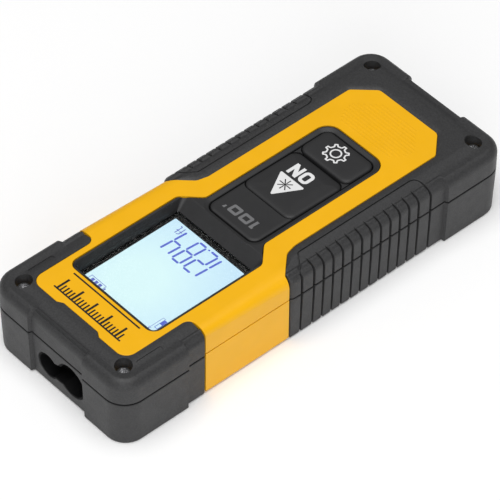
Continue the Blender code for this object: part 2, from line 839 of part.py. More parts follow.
def make_bezel():
    plastic = material("bezel_plastic", DARK_PLASTIC, 0.6)
    outline = bezel_outline()
    bezel = prism("display_bezel", outline, BEZEL_BOTTOM, BEZEL_TOP, PARTS, plastic)
    flange_outline = inset(outline, -BEZEL_FLANGE)
    flange = prism("bezel_flange", flange_outline, BEZEL_BOTTOM, BEZEL_FLANGE_TOP, CUTTERS)
    foot = rectangle(DISPLAY_HALF, DISPLAY_FRONT, DISPLAY_REAR, 0.8)
    rim = rectangle(BEZEL_HALF - DISPLAY_RIM, BEZEL_FRONT - DISPLAY_RIM, DISPLAY_RAMP_REAR, 1.9)
    above = 0.4
    stretch = (BEZEL_TOP + above - DISPLAY_LEVEL) / (BEZEL_TOP - DISPLAY_LEVEL)
    beyond = [low + (high - low) * stretch for low, high in zip(foot, rim)]
    recess = loft(
        "display_recess",
        [
            [(point.x, point.y, DISPLAY_LEVEL) for point in foot],
            [(point.x, point.y, BEZEL_TOP + above) for point in beyond],
        ],
        CUTTERS,
    )
    key_outline_low = rectangle(
        KEY_WELL_HALF + FRAME_PLATE_SPREAD + GAP,
        KEY_WELL_FRONT + FRAME_PLATE_SPREAD + GAP,
        KEY_WELL_REAR - FRAME_PLATE_SPREAD - GAP,
        KEY_WELL_CORNER,
    )
    key_outline_high = rectangle(KEY_WELL_HALF, KEY_WELL_FRONT, KEY_WELL_REAR, KEY_WELL_CORNER)
    below = BEZEL_BOTTOM - 1
    join(bezel, flange)
    cut(
        bezel,
        recess,
        prism("window_way", foot, below, DISPLAY_LEVEL + 0.2, CUTTERS),
        prism("key_well", key_outline_high, below, BEZEL_TOP + 1, CUTTERS),
        prism("key_well_below", key_outline_low, below, FRAME_PLATE_TOP + GAP, CUTTERS),
    )


def make_display():
    clear = material("window_clear", (0.9, 0.93, 0.94), 0.05, alpha=0.35)
    glass = material("lcd_glass", (0.68, 0.93, 1.0), 0.15)
    guide = material("backlight_white", (0.9, 0.92, 0.92), 0.5)
    strip = material("connector_rubber", (0.75, 0.4, 0.42), 0.7)
    half = DISPLAY_HALF - GAP
    front = DISPLAY_FRONT - GAP
    rear = DISPLAY_REAR + GAP
    connector_front = rear + 0.1 + CONNECTOR_WIDTH
    light = rectangle(half, front, connector_front + 0.5, 0.4)
    pane = rectangle(half, front, rear, 0.6)
    prism("display_window", pane, WINDOW_BOTTOM, DISPLAY_LEVEL, PARTS, clear)
    prism("lcd_panel", rectangle(half, front, rear, 0.4), LCD_BOTTOM, LCD_TOP, PARTS, glass)
    prism("lcd_backlight", light, BACKLIGHT_BOTTOM, BACKLIGHT_TOP, PARTS, guide)
    box(
        "lcd_connector",
        (-CONNECTOR_HALF, rear + 0.1, BACKLIGHT_BOTTOM),
        (CONNECTOR_HALF, connector_front, BACKLIGHT_TOP),
        PARTS,
        strip,
    )


def key_outline(front, rear, spread=0.0):
    return rectangle(KEY_HALF + spread, front + spread, rear - spread, KEY_CORNER + spread)


def make_keys():
    grey = material("key_grey", KEY_GREY, 0.6)
    frame = prism(
        "keypad_frame",
        rectangle(KEY_WELL_HALF - GAP, KEY_WELL_FRONT - GAP, KEY_WELL_REAR + GAP, KEY_WELL_CORNER - GAP),
        FRAME_PLATE_BOTTOM,
        RANGE_PAD_TOP,
        PARTS,
        grey,
    )
    plate = prism(
        "frame_plate",
        rectangle(
            KEY_WELL_HALF + FRAME_PLATE_SPREAD,
            KEY_WELL_FRONT + FRAME_PLATE_SPREAD,
            KEY_WELL_REAR - FRAME_PLATE_SPREAD,
            KEY_WELL_CORNER - GAP,
        ),
        FRAME_PLATE_BOTTOM,
        FRAME_PLATE_TOP,
        CUTTERS,
    )
    behind_front_edge = ON_KEY_FRONT - 4
    behind_pad = box(
        "behind_range_pad",
        (-BEYOND_X, -BEYOND_Y, DIVIDER_TOP),
        (BEYOND_X, behind_front_edge, BEYOND_Z),
        CUTTERS,
    )
    join(frame, plate)
    cut(frame, behind_pad)
    keys = (
        ("on_key", "on_dome_switch", ON_KEY_FRONT, ON_KEY_REAR),
        ("settings_key", "settings_dome_switch", SETTINGS_KEY_FRONT, SETTINGS_KEY_REAR),
    )
    dome_metal = material("dome_steel", STEEL, 0.3, metallic=1.0)
    for name, dome_name, front, rear in keys:
        middle = (front + rear) / 2
        spread = key_outline(front, rear, GAP)
        stem_way = disc_outline(0, middle, STEM_RADIUS + GAP)
        cut(frame, prism(f"{name}_way", spread, FRAME_PLATE_TOP, BEYOND_Z, CUTTERS))
        cut(frame, prism(f"{name}_stem_way", stem_way, BOARD_TOP, FRAME_PLATE_TOP + 1, CUTTERS))
        local = [Vector((point.x, point.y - middle)) for point in key_outline(front, rear)]
        key = prism(name, local, KEY_BOTTOM - KEY_TOP, 0, PARTS, grey)
        stem_disc = disc_outline(0, 0, STEM_RADIUS)
        stem_top = KEY_BOTTOM - KEY_TOP + 0.5
        stem = prism(f"{name}_stem", stem_disc, STEM_BOTTOM - KEY_TOP, stem_top, CUTTERS)
        join(key, stem)
        bevel(key, 0.25, angle=60)
        place(key, 0, middle, KEY_TOP)
        place(stem, 0, middle, KEY_TOP)
        dome = prism(dome_name, disc_outline(0, 0, DOME_RADIUS), 0, DOME_THICKNESS, PARTS, dome_metal)
        place(dome, 0, middle, BOARD_TOP + GAP)


# ---------------------------------------------------------------- circuit board


def board_screw_places():
    return [(x, y) for x in (-BOARD_SCREW_X, BOARD_SCREW_X) for y in BOARD_SCREW_YS]


def make_board():
    green = material("board_green", BOARD_GREEN, 0.4)
    chip_black = material("chip_black", BLACK, 0.5)
    buzzer_black = material("buzzer_black", (0.02, 0.02, 0.022), 0.55)
    steel = material("board_screw_steel", STEEL, 0.35, metallic=1.0)
    outline = rectangle(BOARD_HALF_WIDTH, BOARD_HALF_LENGTH, -BOARD_HALF_LENGTH, 1.5)
    board = prism("main_pcb", outline, BOARD_BOTTOM, BOARD_TOP, PARTS, green)
    under = BOARD_BOTTOM - GAP
    for number, (x, y) in enumerate(board_screw_places()):
        hole = post(f"board_hole_{number}", x, y, BOARD_HOLE_RADIUS, BOARD_BOTTOM - 1, BOARD_TOP + 1)
        cut(board, hole)
        screw = turned(
            f"pcb_screw_{number + 1}",
            [(0.0, 2.3), (0.5, 2.3), (0.5, 0.0), (1.3, 0.0), (1.3, -0.5), (1.0, -0.8), (0.0, -0.8)],
            PARTS,
            steel,
            sides=SMALL_SIDES,
        )
        place(screw, x, y, under)
    box(
        "processor_chip",
        (-CHIP_HALF, CHIP_Y - CHIP_HALF, CHIP_BOTTOM),
        (CHIP_HALF, CHIP_Y + CHIP_HALF, under),
        PARTS,
        chip_black,
    )
    buzzer = turned(
        "buzzer",
        [(0.0, -0.9), (0.8, -0.9), (0.8, 0.0), (4.6, 0.0), (4.6, -2.6), (0.0, -2.6)],
        PARTS,
        buzzer_black,
    )
    place(buzzer, BUZZER_X, BUZZER_Y, under)


# ---------------------------------------------------------------- optics


def aimed_forward(made, x, y, z):
    """Puts a turned piece with its axis along +Y."""
    return place(made, x, y, z, (-math.pi / 2, "X"))


def make_optical_frame():
    """The black block that holds both lenses, with a nose that lines the opening in the front."""
    casting = material("optics_black", BLACK, 0.7)
    low = (OPTICS_LEFT, OPTICS_REAR, FLOOR_LOW + 0.4)
    frame = box("optical_frame", low, (OPTICS_RIGHT, OPTICS_FRONT, OPTICS_TOP), PARTS, casting)
    nose = aperture("nose", -GAP, OPTICS_FRONT - 1, NOSE_FRONT)
    cut(nose, aperture("nose_way", -GAP - NOSE_WALL, OPTICS_FRONT, HALF_LENGTH))
    receiver_bore = disc_outline(RECEIVER_X, RECEIVER_Z, RECEIVER_BORE)
    light_bore = disc_outline(RECEIVER_X, RECEIVER_Z, RECEIVER_LIGHT_BORE)
    laser_bore = disc_outline(LASER_X, LASER_Z, LASER_BORE)
    behind = OPTICS_REAR - 5
    mouth = OPTICS_FRONT + GAP
    join(frame, nose)
    cut(
        frame,
        front_prism("receiver_bore", receiver_bore, RECEIVER_BORE_REAR, mouth, CUTTERS),
        front_prism("receiver_light", light_bore, behind, RECEIVER_BORE_REAR + 1, CUTTERS),
        front_prism("laser_bore", laser_bore, behind, mouth, CUTTERS),
    )
    return frame


def make_lenses_and_diode():
    glass = material("lens_glass", (0.55, 0.62, 0.7), 0.05, alpha=0.5)
    can = material("diode_can", BRASS, 0.3, metallic=1.0)
    receiver_profile = [(0.0, 1.4), (1.4, 1.25), (2.6, 0.9), (3.6, 0.4), (3.6, -0.8), (0.0, -0.8)]
    collimator_profile = [(0.0, 0.9), (1.0, 0.7), (2.1, 0.2), (2.1, -0.6), (0.0, -0.6)]
    diode_profile = [(0.0, 7.0), (1.4, 7.0), (1.4, 2.0), (2.1, 2.0), (2.1, 0.0), (0.0, 0.0)]
    receiver = turned("receiver_lens", receiver_profile, PARTS, glass)
    aimed_forward(receiver, RECEIVER_X, LENS_Y, RECEIVER_Z)
    collimator = turned("collimator_lens", collimator_profile, PARTS, glass)
    aimed_forward(collimator, LASER_X, LENS_Y, LASER_Z)
    aimed_forward(turned("laser_diode", diode_profile, PARTS, can), LASER_X, DIODE_Y, LASER_Z)


def make_sensor(frame):
    green = material("sensor_board_green", BOARD_GREEN, 0.4)
    chip = material("sensor_black", BLACK, 0.35)
    steel = material("optics_screw_steel", STEEL, 0.35, metallic=1.0)
    board = box(
        "sensor_board",
        (SENSOR_BOARD_LEFT, SENSOR_BOARD_REAR, SENSOR_BOARD_BOTTOM),
        (SENSOR_BOARD_RIGHT, SENSOR_BOARD_FRONT, SENSOR_BOARD_TOP),
        PARTS,
        green,
    )
    sensor_profile = [(0.0, 1.6), (1.5, 1.6), (1.8, 1.3), (1.8, 0.0), (0.0, 0.0)]
    sensor = turned("receiver_sensor", sensor_profile, PARTS, chip)
    aimed_forward(sensor, RECEIVER_X, SENSOR_BOARD_FRONT + GAP, RECEIVER_Z)
    for number, x in enumerate(OPTICS_SCREW_XS):
        outline = disc_outline(x, OPTICS_SCREW_Z, OPTICS_HOLE_RADIUS, SMALL_SIDES)
        rear, front = SENSOR_BOARD_REAR - 5, OPTICS_REAR + 3
        hole = front_prism(f"sensor_hole_{number}", outline, rear, front, CUTTERS)
        cut(board, hole)
        cut(frame, hole)
        screw = turned(
            f"optics_screw_{number + 1}",
            [(0.0, 3.6), (0.5, 3.6), (0.5, 0.0), (1.1, 0.0), (1.1, -0.7), (0.0, -0.7)],
            PARTS,
            steel,
            sides=SMALL_SIDES,
        )
        aimed_forward(screw, x, SENSOR_BOARD_REAR - GAP, OPTICS_SCREW_Z)


# ---------------------------------------------------------------- battery bay


def make_cells():
    jacket = material("cell_jacket", (0.025, 0.027, 0.03), 0.35)
    half = CELL_BODY / 2
    profile = [
        (0.0, half + NUB_HEIGHT),
        (NUB_RADIUS, half + NUB_HEIGHT),
        (NUB_RADIUS, half),
        (CELL_RADIUS - 0.4, half),
        (CELL_RADIUS, half - 0.4),
        (CELL_RADIUS, -half + 0.4),
        (CELL_RADIUS - 0.4, -half),
        (0.0, -half),
    ]
    left = turned("battery_left", profile, PARTS, jacket)
    right = turned("battery_right", profile, PARTS, jacket)
    place(left, -CELL_X, CELL_REAR + half, CELL_Z, (-math.pi / 2, "X"))
    place(right, CELL_X, CELL_FRONT - half, CELL_Z, (math.pi / 2, "X"))


def contact_spring(name, x, start, direction, look):
    """A conical wire spring whose wide end sits on its contact plate."""
    curve = bpy.data.curves.new(name, "CURVE")
    curve.dimensions = "3D"
    curve.bevel_depth = SPRING_WIRE * MM
    curve.bevel_resolution = 0
    curve.use_fill_caps = True
    spline = curve.splines.new("POLY")
    count = int(SPRING_TURNS * SPRING_STEPS)
    spline.points.add(count)
    for index, point in enumerate(spline.points):
        share = index / count
        angle = math.tau * SPRING_TURNS * share
        radius = SPRING_WIDE + (SPRING_NARROW - SPRING_WIDE) * share
        point.co = (
            radius * math.cos(angle) * MM,
            direction * SPRING_LENGTH * share * MM,
            radius * math.sin(angle) * MM,
            1.0,
        )
    spring = bpy.data.objects.new(name, curve)
    curve.materials.append(look)
    PARTS.objects.link(spring)
    spring.location = (x * MM, start * MM, CELL_Z * MM)
    return spring


def contact_plate(name, left, right, y, collection, look=None):
    return box(
        name, (left, y, CONTACT_BOTTOM), (right, y + CONTACT_THICKNESS, CONTACT_TOP), collection, look
    )


def make_contacts():
    nickel = material("contact_nickel", (0.6, 0.58, 0.54), 0.3, metallic=1.0)
    wire = material("spring_steel", STEEL, 0.3, metallic=1.0)
    contact_plate("positive_contact", -CONTACT_OUTER, -CONTACT_INNER, CELL_FRONT + GAP, PARTS, nickel)
    contact_plate("negative_contact", CONTACT_INNER, CONTACT_OUTER, FRONT_CONTACT_Y, PARTS, nickel)
    bend = 0.3
    raised_y = CELL_REAR - GAP - CONTACT_THICKNESS
    bend_high = (bend + CONTACT_THICKNESS, raised_y + CONTACT_THICKNESS, CONTACT_TOP)
    bridge = contact_plate(
        "bridge_contact", -CONTACT_OUTER, bend + CONTACT_THICKNESS, REAR_CONTACT_Y, PARTS, nickel
    )
    join(
        bridge,
        box("bridge_bend", (bend, REAR_CONTACT_Y, CONTACT_BOTTOM), bend_high, CUTTERS),
        contact_plate("bridge_raised", bend, CONTACT_OUTER, raised_y, CUTTERS),
    )
    clear = GAP + SPRING_WIRE
    contact_spring("negative_spring", CELL_X, FRONT_CONTACT_Y - clear, -1, wire)
    contact_spring("bridge_spring", -CELL_X, REAR_CONTACT_Y + CONTACT_THICKNESS + clear, 1, wire)


def make_door():
    """The battery door, with its origin on the hinge axis at its front edge."""
    plastic = material("door_plastic", DARK_PLASTIC, 0.6)
    bottom = SHELL_BOTTOM - HINGE_Z
    top = DOOR_TOP - HINGE_Z
    rear = DOOR_REAR - HINGE_Y
    outline = rectangle(DOOR_HALF, DOOR_FRONT - HINGE_Y, rear, 0.8)
    door = prism("battery_door", outline, bottom, top, PARTS, plastic)
    thumb_low = (-THUMB_HALF, rear + 2.5, bottom - 1)
    thumb = box("thumb_notch", thumb_low, (THUMB_HALF, rear + 4.0, bottom + 0.5), CUTTERS)
    catch_low = (-CATCH_HALF, rear + 0.3, top - 0.3)
    catch = box("door_catch", catch_low, (CATCH_HALF, rear + 1.2, top + 0.25), CUTTERS)
    join(door, catch)
    cut(door, thumb)
    bevel(door, 0.3, segments=1, angle=60)
    for piece in (door, thumb, catch):
        place(piece, 0, HINGE_Y, HINGE_Z)


def make_label():
    paper = material("label_white", (0.8, 0.8, 0.78), 0.6)
    outline = rectangle(LABEL_HALF, LABEL_FRONT, LABEL_REAR, 0.6)
    prism("rating_label", outline, LABEL_BOTTOM, LABEL_TOP, PARTS, paper)


clear_scene()
PARTS = new_collection("laser_distance_meter")
CUTTERS = new_collection("cutters")
make_rubber()
make_top_housing()
make_bottom_housing()
make_housing_screws()
make_bezel()
make_display()
make_keys()
make_board()
make_lenses_and_diode()
make_sensor(make_optical_frame())
make_cells()
make_contacts()
make_door()
make_label()
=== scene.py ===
"""Looks of a pocket laser distance meter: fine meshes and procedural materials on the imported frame.

Sizes are in millimetres and the helpers turn them into metres. +Y is the way the laser points,
+Z is up out of the display, and the frame gives the places of the parts.
"""

import math

import bmesh
import bpy
from mathutils import Matrix, Quaternion, Vector


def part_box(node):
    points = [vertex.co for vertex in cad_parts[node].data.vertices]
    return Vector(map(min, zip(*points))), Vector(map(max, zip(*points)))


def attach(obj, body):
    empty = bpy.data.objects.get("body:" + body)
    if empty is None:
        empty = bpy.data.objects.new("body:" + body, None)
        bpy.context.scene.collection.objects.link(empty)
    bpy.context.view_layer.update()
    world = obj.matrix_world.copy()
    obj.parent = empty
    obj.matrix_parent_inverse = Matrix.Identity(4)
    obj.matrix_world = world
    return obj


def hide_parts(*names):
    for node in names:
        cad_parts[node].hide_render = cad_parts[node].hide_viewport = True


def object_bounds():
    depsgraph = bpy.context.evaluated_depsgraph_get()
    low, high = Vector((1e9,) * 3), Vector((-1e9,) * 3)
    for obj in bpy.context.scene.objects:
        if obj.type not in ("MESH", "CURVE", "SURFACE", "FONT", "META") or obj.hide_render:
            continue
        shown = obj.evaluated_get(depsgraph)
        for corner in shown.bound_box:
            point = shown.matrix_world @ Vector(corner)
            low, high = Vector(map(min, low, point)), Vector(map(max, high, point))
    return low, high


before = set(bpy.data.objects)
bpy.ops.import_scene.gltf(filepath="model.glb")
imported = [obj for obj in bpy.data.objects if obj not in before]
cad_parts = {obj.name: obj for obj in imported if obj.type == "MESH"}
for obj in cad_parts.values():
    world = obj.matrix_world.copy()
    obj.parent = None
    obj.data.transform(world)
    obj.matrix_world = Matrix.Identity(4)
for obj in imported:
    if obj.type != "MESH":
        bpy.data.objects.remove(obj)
CAD_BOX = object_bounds()

MM = 0.001
ARC_STEPS = 8
ROUND_SIDES = 64
SHARP_ANGLE = 32
SIDES = (-1, 1)
TINY = 1e-6
ABOVE = 25
HELPERS = []


def box_mm(node):
    """A node's lowest and highest corner, in millimetres."""
    return [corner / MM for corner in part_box(node)]


# ---- sizes read from the frame

BODY_LOW, BODY_HIGH = (corner / MM for corner in CAD_BOX)
HALF_WIDTH = BODY_HIGH.x
HALF_LENGTH = BODY_HIGH.y
SHELL_LOW, SHELL_HIGH = box_mm("top_housing")
SHELL_TOP = SHELL_HIGH.z
FRONT_TOP_LOW, FRONT_TOP_HIGH = box_mm("front_bumper_top")
_, FRONT_BOTTOM_HIGH = box_mm("front_bumper_bottom")
_, REAR_TOP_HIGH = box_mm("rear_grip_top")
BEZEL_LOW, BEZEL_HIGH = box_mm("display_bezel")
ON_LOW, ON_HIGH = box_mm("on_key")
SETTINGS_LOW, SETTINGS_HIGH = box_mm("settings_key")
PAD_LOW, PAD_HIGH = box_mm("keypad_frame")
LCD_LOW, LCD_HIGH = box_mm("lcd_panel")
WINDOW_LOW, WINDOW_HIGH = box_mm("display_window")
DOOR_LOW, DOOR_HIGH = box_mm("battery_door")

# Rubber bumpers and grips.
PAD_PROUD = 0.8
PAD_RISE = 0.42
CORNER_RADIUS = 5.5
SHOULDER_RADIUS = 2.0
SHOULDER_START = 16.7
CREST_INSET = 4.95
CREASE_SHARE = 0.17
FOOT_ROUND = 0.5
FOOT_HEIGHT = 0.5
DRAFT = 0.42
LIP_ROUND = 0.22
END_RECESS_HALF = 8.55
STEP_RUN = 0.42
FRONT_PAD_END = 37.6
REAR_PAD_END = -38.4
GAP = 0.3
CORE_HALF_WIDTH = 19.6
CORE_HALF_LENGTH = 53.9
CORE_CORNER = 3.9
CORE_TOP = 17.4
CORE_BOTTOM = 1.5
WALL = 1.6
CEILING = 15.8

# Bare housing between the bumpers.
SIDE_FRONT = 31.9
SIDE_REAR = 7.9
FACE_HALF_FRONT = 15.6
FACE_FRONT = 49.85
NOTCH_FRONT = 49.0
NOTCH_HALF = 5.6
FACE_HALF_REAR = 14.2
FACE_REAR = -46.9
TAIL_HALF = 9.4
TAIL_CHAMFER_START = -41.8
TOP_EDGE = 0.22
SIDE_FACE = 20.9

# Grip grooves.
RIB_PITCH = 2.823
RIB_COUNT = 12
FIRST_RIB_Y = 1.0
GRIP_FRONT_EDGE = 4.57
GRIP_REAR_EDGE = -33.7
GRIP_END_ROUND = 1.8
GROOVE_HALF = 0.33
GROOVE_DEPTH = 0.8
GROOVE_TIP = 0.85
END_GROOVE_TIP = 0.9
GROOVE_CHAMFER = 0.08
SHOULDER_CHAMFER = 0.04
SHOULDER_TAPER = 0.3
PANEL_LINE_X = 16.5
PANEL_LINE_FRONT = 1.5
PANEL_LINE_HALF = 0.14
PANEL_LINE_DEPTH = 0.42
PANEL_LINE_CHAMFER = 0.07

# Screws and optics.
SCREW_X = 16.5
SCREW_Y = 51.1
SCREW_WELL_RADIUS = 1.95
SLEEVE_RADIUS = 2.5
SLEEVE_BOTTOM = 16.0
SLEEVE_TOP = 18.3
RECEIVER_X = -4.0
RECEIVER_Z = 6.8
RECEIVER_APERTURE = 4.4
LASER_X = 3.7
LASER_Z = 5.7
LASER_APERTURE = 3.3

# Display and keypad surround.
BEZEL_TOP = BEZEL_HIGH.z
BEZEL_HALF = 13.95
BEZEL_FRONT = 40.7
BEZEL_NECK_FRONT = 9.7
BEZEL_NECK_REAR = 5.2
BEZEL_NECK_HALF = 9.5
BEZEL_REAR = -31.4
DISPLAY_LEVEL = WINDOW_HIGH.z
DISPLAY_HALF = WINDOW_HIGH.x + GAP
DISPLAY_FRONT = WINDOW_HIGH.y + GAP
DISPLAY_REAR = WINDOW_LOW.y - GAP
DISPLAY_RAMP_REAR = 8.0
KEY_WELL_HALF = 8.1
KEY_WELL_FRONT = 6.9
KEY_WELL_REAR = -29.9
KEY_WELL_CORNER = 2.4
KEY_CORNER = 2.0
KEY_PARTING = 0.4
KEY_DIP_RUN = 3.6


# ---- outlines in one plane


def rounded(corners, steps=ARC_STEPS):
    """The closed outline through (x, y, radius) corners, with an arc at each corner that has a radius."""
    points = []
    for index, (x, y, radius) in enumerate(corners):
        corner = Vector((x, y))
        if radius == 0:
            points.append(corner)
            continue
        before = (Vector(corners[index - 1][:2]) - corner).normalized()
        after = (Vector(corners[(index + 1) % len(corners)][:2]) - corner).normalized()
        half_angle = before.angle(after) / 2
        centre = corner + (before + after).normalized() * radius / math.sin(half_angle)
        start = corner + before * radius / math.tan(half_angle) - centre
        end = corner + after * radius / math.tan(half_angle) - centre
        first = math.atan2(start.y, start.x)
        sweep = (math.atan2(end.y, end.x) - first + math.pi) % math.tau - math.pi
        for step in range(steps + 1):
            angle = first + sweep * step / steps
            points.append(centre + radius * Vector((math.cos(angle), math.sin(angle))))
    return points


def both_sides(right_half):
    """The corners of a shape that is the same on both sides of x = 0, from those of its +X half."""
    return right_half + [(-x, y, radius) for x, y, radius in reversed(right_half)]


def moved(corners, inwards):
    """The corners with every side moved inwards, or outwards if negative. Arcs keep their centres."""
    spots = [Vector(corner[:2]) for corner in corners]
    area = sum(spots[k - 1].x * spots[k].y - spots[k].x * spots[k - 1].y for k in range(len(spots)))
    side = math.copysign(1.0, area)
    result = []
    for index, spot in enumerate(spots):
        arriving = (spot - spots[index - 1]).normalized()
        leaving = (spots[(index + 1) % len(spots)] - spot).normalized()
        first = side * Vector((-arriving.y, arriving.x))
        second = side * Vector((-leaving.y, leaving.x))
        place = spot + (first + second) * inwards / (1 + first.dot(second))
        radius = corners[index][2]
        if radius:
            convex = side * arriving.cross(leaving) > 0
            radius = max(radius - inwards if convex else radius + inwards, 0.05)
        result.append((place.x, place.y, radius))
    return result


def corners_between(left, right, rear, front, radius):
    return [(right, front, radius), (right, rear, radius), (left, rear, radius), (left, front, radius)]


def rectangle(half_width, front, rear, radius):
    return corners_between(-half_width, half_width, rear, front, radius)


def disc(x, y, radius, sides=ROUND_SIDES):
    return [
        Vector((x + radius * math.cos(math.tau * k / sides), y + radius * math.sin(math.tau * k / sides)))
        for k in range(sides)
    ]


def rubber_corners(proud, inwards):
    """The rubber's outer edge. The corner pads stand out from it, and the whole is moved inwards."""
    side = HALF_WIDTH - PAD_PROUD - inwards
    end = HALF_LENGTH - PAD_PROUD - inwards
    corner = max(CORNER_RADIUS - inwards, 0.4)
    pad_side, pad_end = side + proud, end + proud
    step_in, step_out = END_RECESS_HALF, END_RECESS_HALF + STEP_RUN
    front = [(step_in, end, 0), (step_out, pad_end, 0), (pad_side, pad_end, corner)]
    front += [(pad_side, FRONT_PAD_END, 0), (side, FRONT_PAD_END - STEP_RUN, 0)]
    rear = [(side, REAR_PAD_END + STEP_RUN, 0), (pad_side, REAR_PAD_END, 0)]
    rear += [(pad_side, -pad_end, corner), (step_out, -pad_end, 0), (step_in, -end, 0)]
    return both_sides(front + rear)


def core_corners():
    return rectangle(CORE_HALF_WIDTH, CORE_HALF_LENGTH, -CORE_HALF_LENGTH, CORE_CORNER)


FACE_CORNERS = both_sides(
    [(NOTCH_HALF, NOTCH_FRONT, 0.6), (NOTCH_HALF + 1.4, FACE_FRONT, 0.6), (FACE_HALF_FRONT, FACE_FRONT, 2.8)]
    + [(FACE_HALF_FRONT, SIDE_FRONT, 2.0), (SIDE_FACE, SIDE_FRONT, 0), (SIDE_FACE, SIDE_REAR, 0)]
    + [(19.4, SIDE_REAR, 0.8), (14.9, 3.2, 2.2), (FACE_HALF_REAR, 0.4, 3.0)]
    + [(FACE_HALF_REAR, TAIL_CHAMFER_START, 1.4), (TAIL_HALF, FACE_REAR, 1.8)]
)
BEZEL_CORNERS = both_sides(
    [(BEZEL_HALF, BEZEL_FRONT, 2.2), (BEZEL_HALF, BEZEL_NECK_FRONT, 2.0)]
    + [(BEZEL_NECK_HALF, BEZEL_NECK_REAR, 2.0), (BEZEL_NECK_HALF, BEZEL_REAR, 3.6)]
)


# ---- solids


def linked(name, data):
    """A new object in the scene."""
    made = bpy.data.objects.new(name, data)
    bpy.context.scene.collection.objects.link(made)
    return made


def finished_mesh(made):
    """The mesh that an object's modifiers, or its curve, come out as."""
    bpy.context.view_layer.update()
    return bpy.data.meshes.new_from_object(made.evaluated_get(bpy.context.evaluated_depsgraph_get()))


def object_from(name, shape):
    """A mesh object made from a bmesh, with its faces pointing out."""
    bmesh.ops.recalc_face_normals(shape, faces=shape.faces)
    mesh = bpy.data.meshes.new(name)
    shape.to_mesh(mesh)
    shape.free()
    return linked(name, mesh)


def flat_shape(name, outlines, bottom, top):
    """A solid between two levels, from one outer outline and any holes in it."""
    curve = bpy.data.curves.new(name, "CURVE")
    curve.dimensions = "2D"
    curve.fill_mode = "BOTH"
    curve.extrude = (top - bottom) / 2 * MM
    for outline in outlines:
        spline = curve.splines.new("POLY")
        spline.points.add(len(outline) - 1)
        spline.use_cyclic_u = True
        for point, place in zip(spline.points, outline):
            point.co = (place[0] * MM, place[1] * MM, 0.0, 1.0)
    drawn = linked(name, curve)
    mesh = finished_mesh(drawn)
    bpy.data.objects.remove(drawn, do_unlink=True)
    bpy.data.curves.remove(curve)
    shape = bmesh.new()
    shape.from_mesh(mesh)
    bpy.data.meshes.remove(mesh)
    bmesh.ops.translate(shape, vec=(0, 0, (top + bottom) / 2 * MM), verts=shape.verts)
    bmesh.ops.remove_doubles(shape, verts=shape.verts, dist=MM * 0.0005)
    return object_from(name, shape)


def prism(name, outline, bottom, top):
    return flat_shape(name, [outline], bottom, top)


def front_prism(name, outline, rear, front):
    """A solid with an outline in x and z, running from rear to front along y."""
    made = prism(name, outline, -front, -rear)
    made.data.transform(Matrix.Rotation(math.pi / 2, 4, "X"))
    return made


def box(name, low, high):
    shape = bmesh.new()
    bmesh.ops.create_cube(shape, size=1.0)
    bmesh.ops.scale(shape, vec=[(b - a) * MM for a, b in zip(low, high)], verts=shape.verts)
    bmesh.ops.translate(shape, vec=[(a + b) / 2 * MM for a, b in zip(low, high)], verts=shape.verts)
    return object_from(name, shape)


def loft(name, *ring_sets):
    """Closed solids through rings of (x, y, z). The rings of one set have the same number of points."""
    shape = bmesh.new()
    for rings in ring_sets:
        placed = [[shape.verts.new(Vector(point) * MM) for point in ring] for ring in rings]
        for lower, upper in zip(placed, placed[1:]):
            for index in range(len(lower)):
                shape.faces.new((lower[index - 1], lower[index], upper[index], upper[index - 1]))
        shape.faces.new(placed[0])
        shape.faces.new(placed[-1])
    return object_from(name, shape)


def level(outline, height):
    return [(point.x, point.y, height) for point in outline]


def stepped(name, corners, steps):
    """A solid through copies of one outline, at (inwards, height) steps."""
    return loft(name, [level(rounded(moved(corners, inwards)), height) for inwards, height in steps])


def turned(name, profile, sides=ROUND_SIDES):
    """A solid turned about z from (radius, z) points that start and end on the axis."""
    shape = bmesh.new()
    points = [shape.verts.new((radius * MM, 0.0, height * MM)) for radius, height in profile]
    edges = [shape.edges.new(pair) for pair in zip(points, points[1:])]
    whole_turn = {"cent": (0, 0, 0), "axis": (0, 0, 1), "angle": math.tau}
    bmesh.ops.spin(shape, geom=points + edges, steps=sides, use_merge=True, **whole_turn)
    bmesh.ops.remove_doubles(shape, verts=shape.verts, dist=MM * 0.001)
    return object_from(name, shape)


def boolean(made, helpers, operation):
    """Adds or cuts away helper solids, which are removed once every piece is settled."""
    for helper in helpers:
        step = made.modifiers.new(helper.name, "BOOLEAN")
        step.operation = operation
        step.object = helper
        step.solver = "MANIFOLD"
        if helper not in HELPERS:
            HELPERS.append(helper)


def cut(made, *helpers):
    boolean(made, helpers, "DIFFERENCE")


def join(made, *helpers):
    boolean(made, helpers, "UNION")


def settle(made):
    """Turns an object's modifiers into its mesh."""
    mesh = finished_mesh(made)
    made.modifiers.clear()
    made.data = mesh


def piece(made, look, slot, *nodes, body="housing"):
    """A finished visible piece: its mesh settled and shaded, with its material, body and CAD nodes. Its slot
    argument is not used.
    """
    settle(made)
    made.data.materials.clear()
    made.data.materials.append(look)
    made.data.shade_smooth()
    made.data.set_sharp_from_angle(angle=math.radians(SHARP_ANGLE))
    weighted = made.modifiers.new("even shading", "WEIGHTED_NORMAL")
    weighted.keep_sharp = True
    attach(made, body)
    if nodes:
        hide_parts(*nodes)


# ---- materials


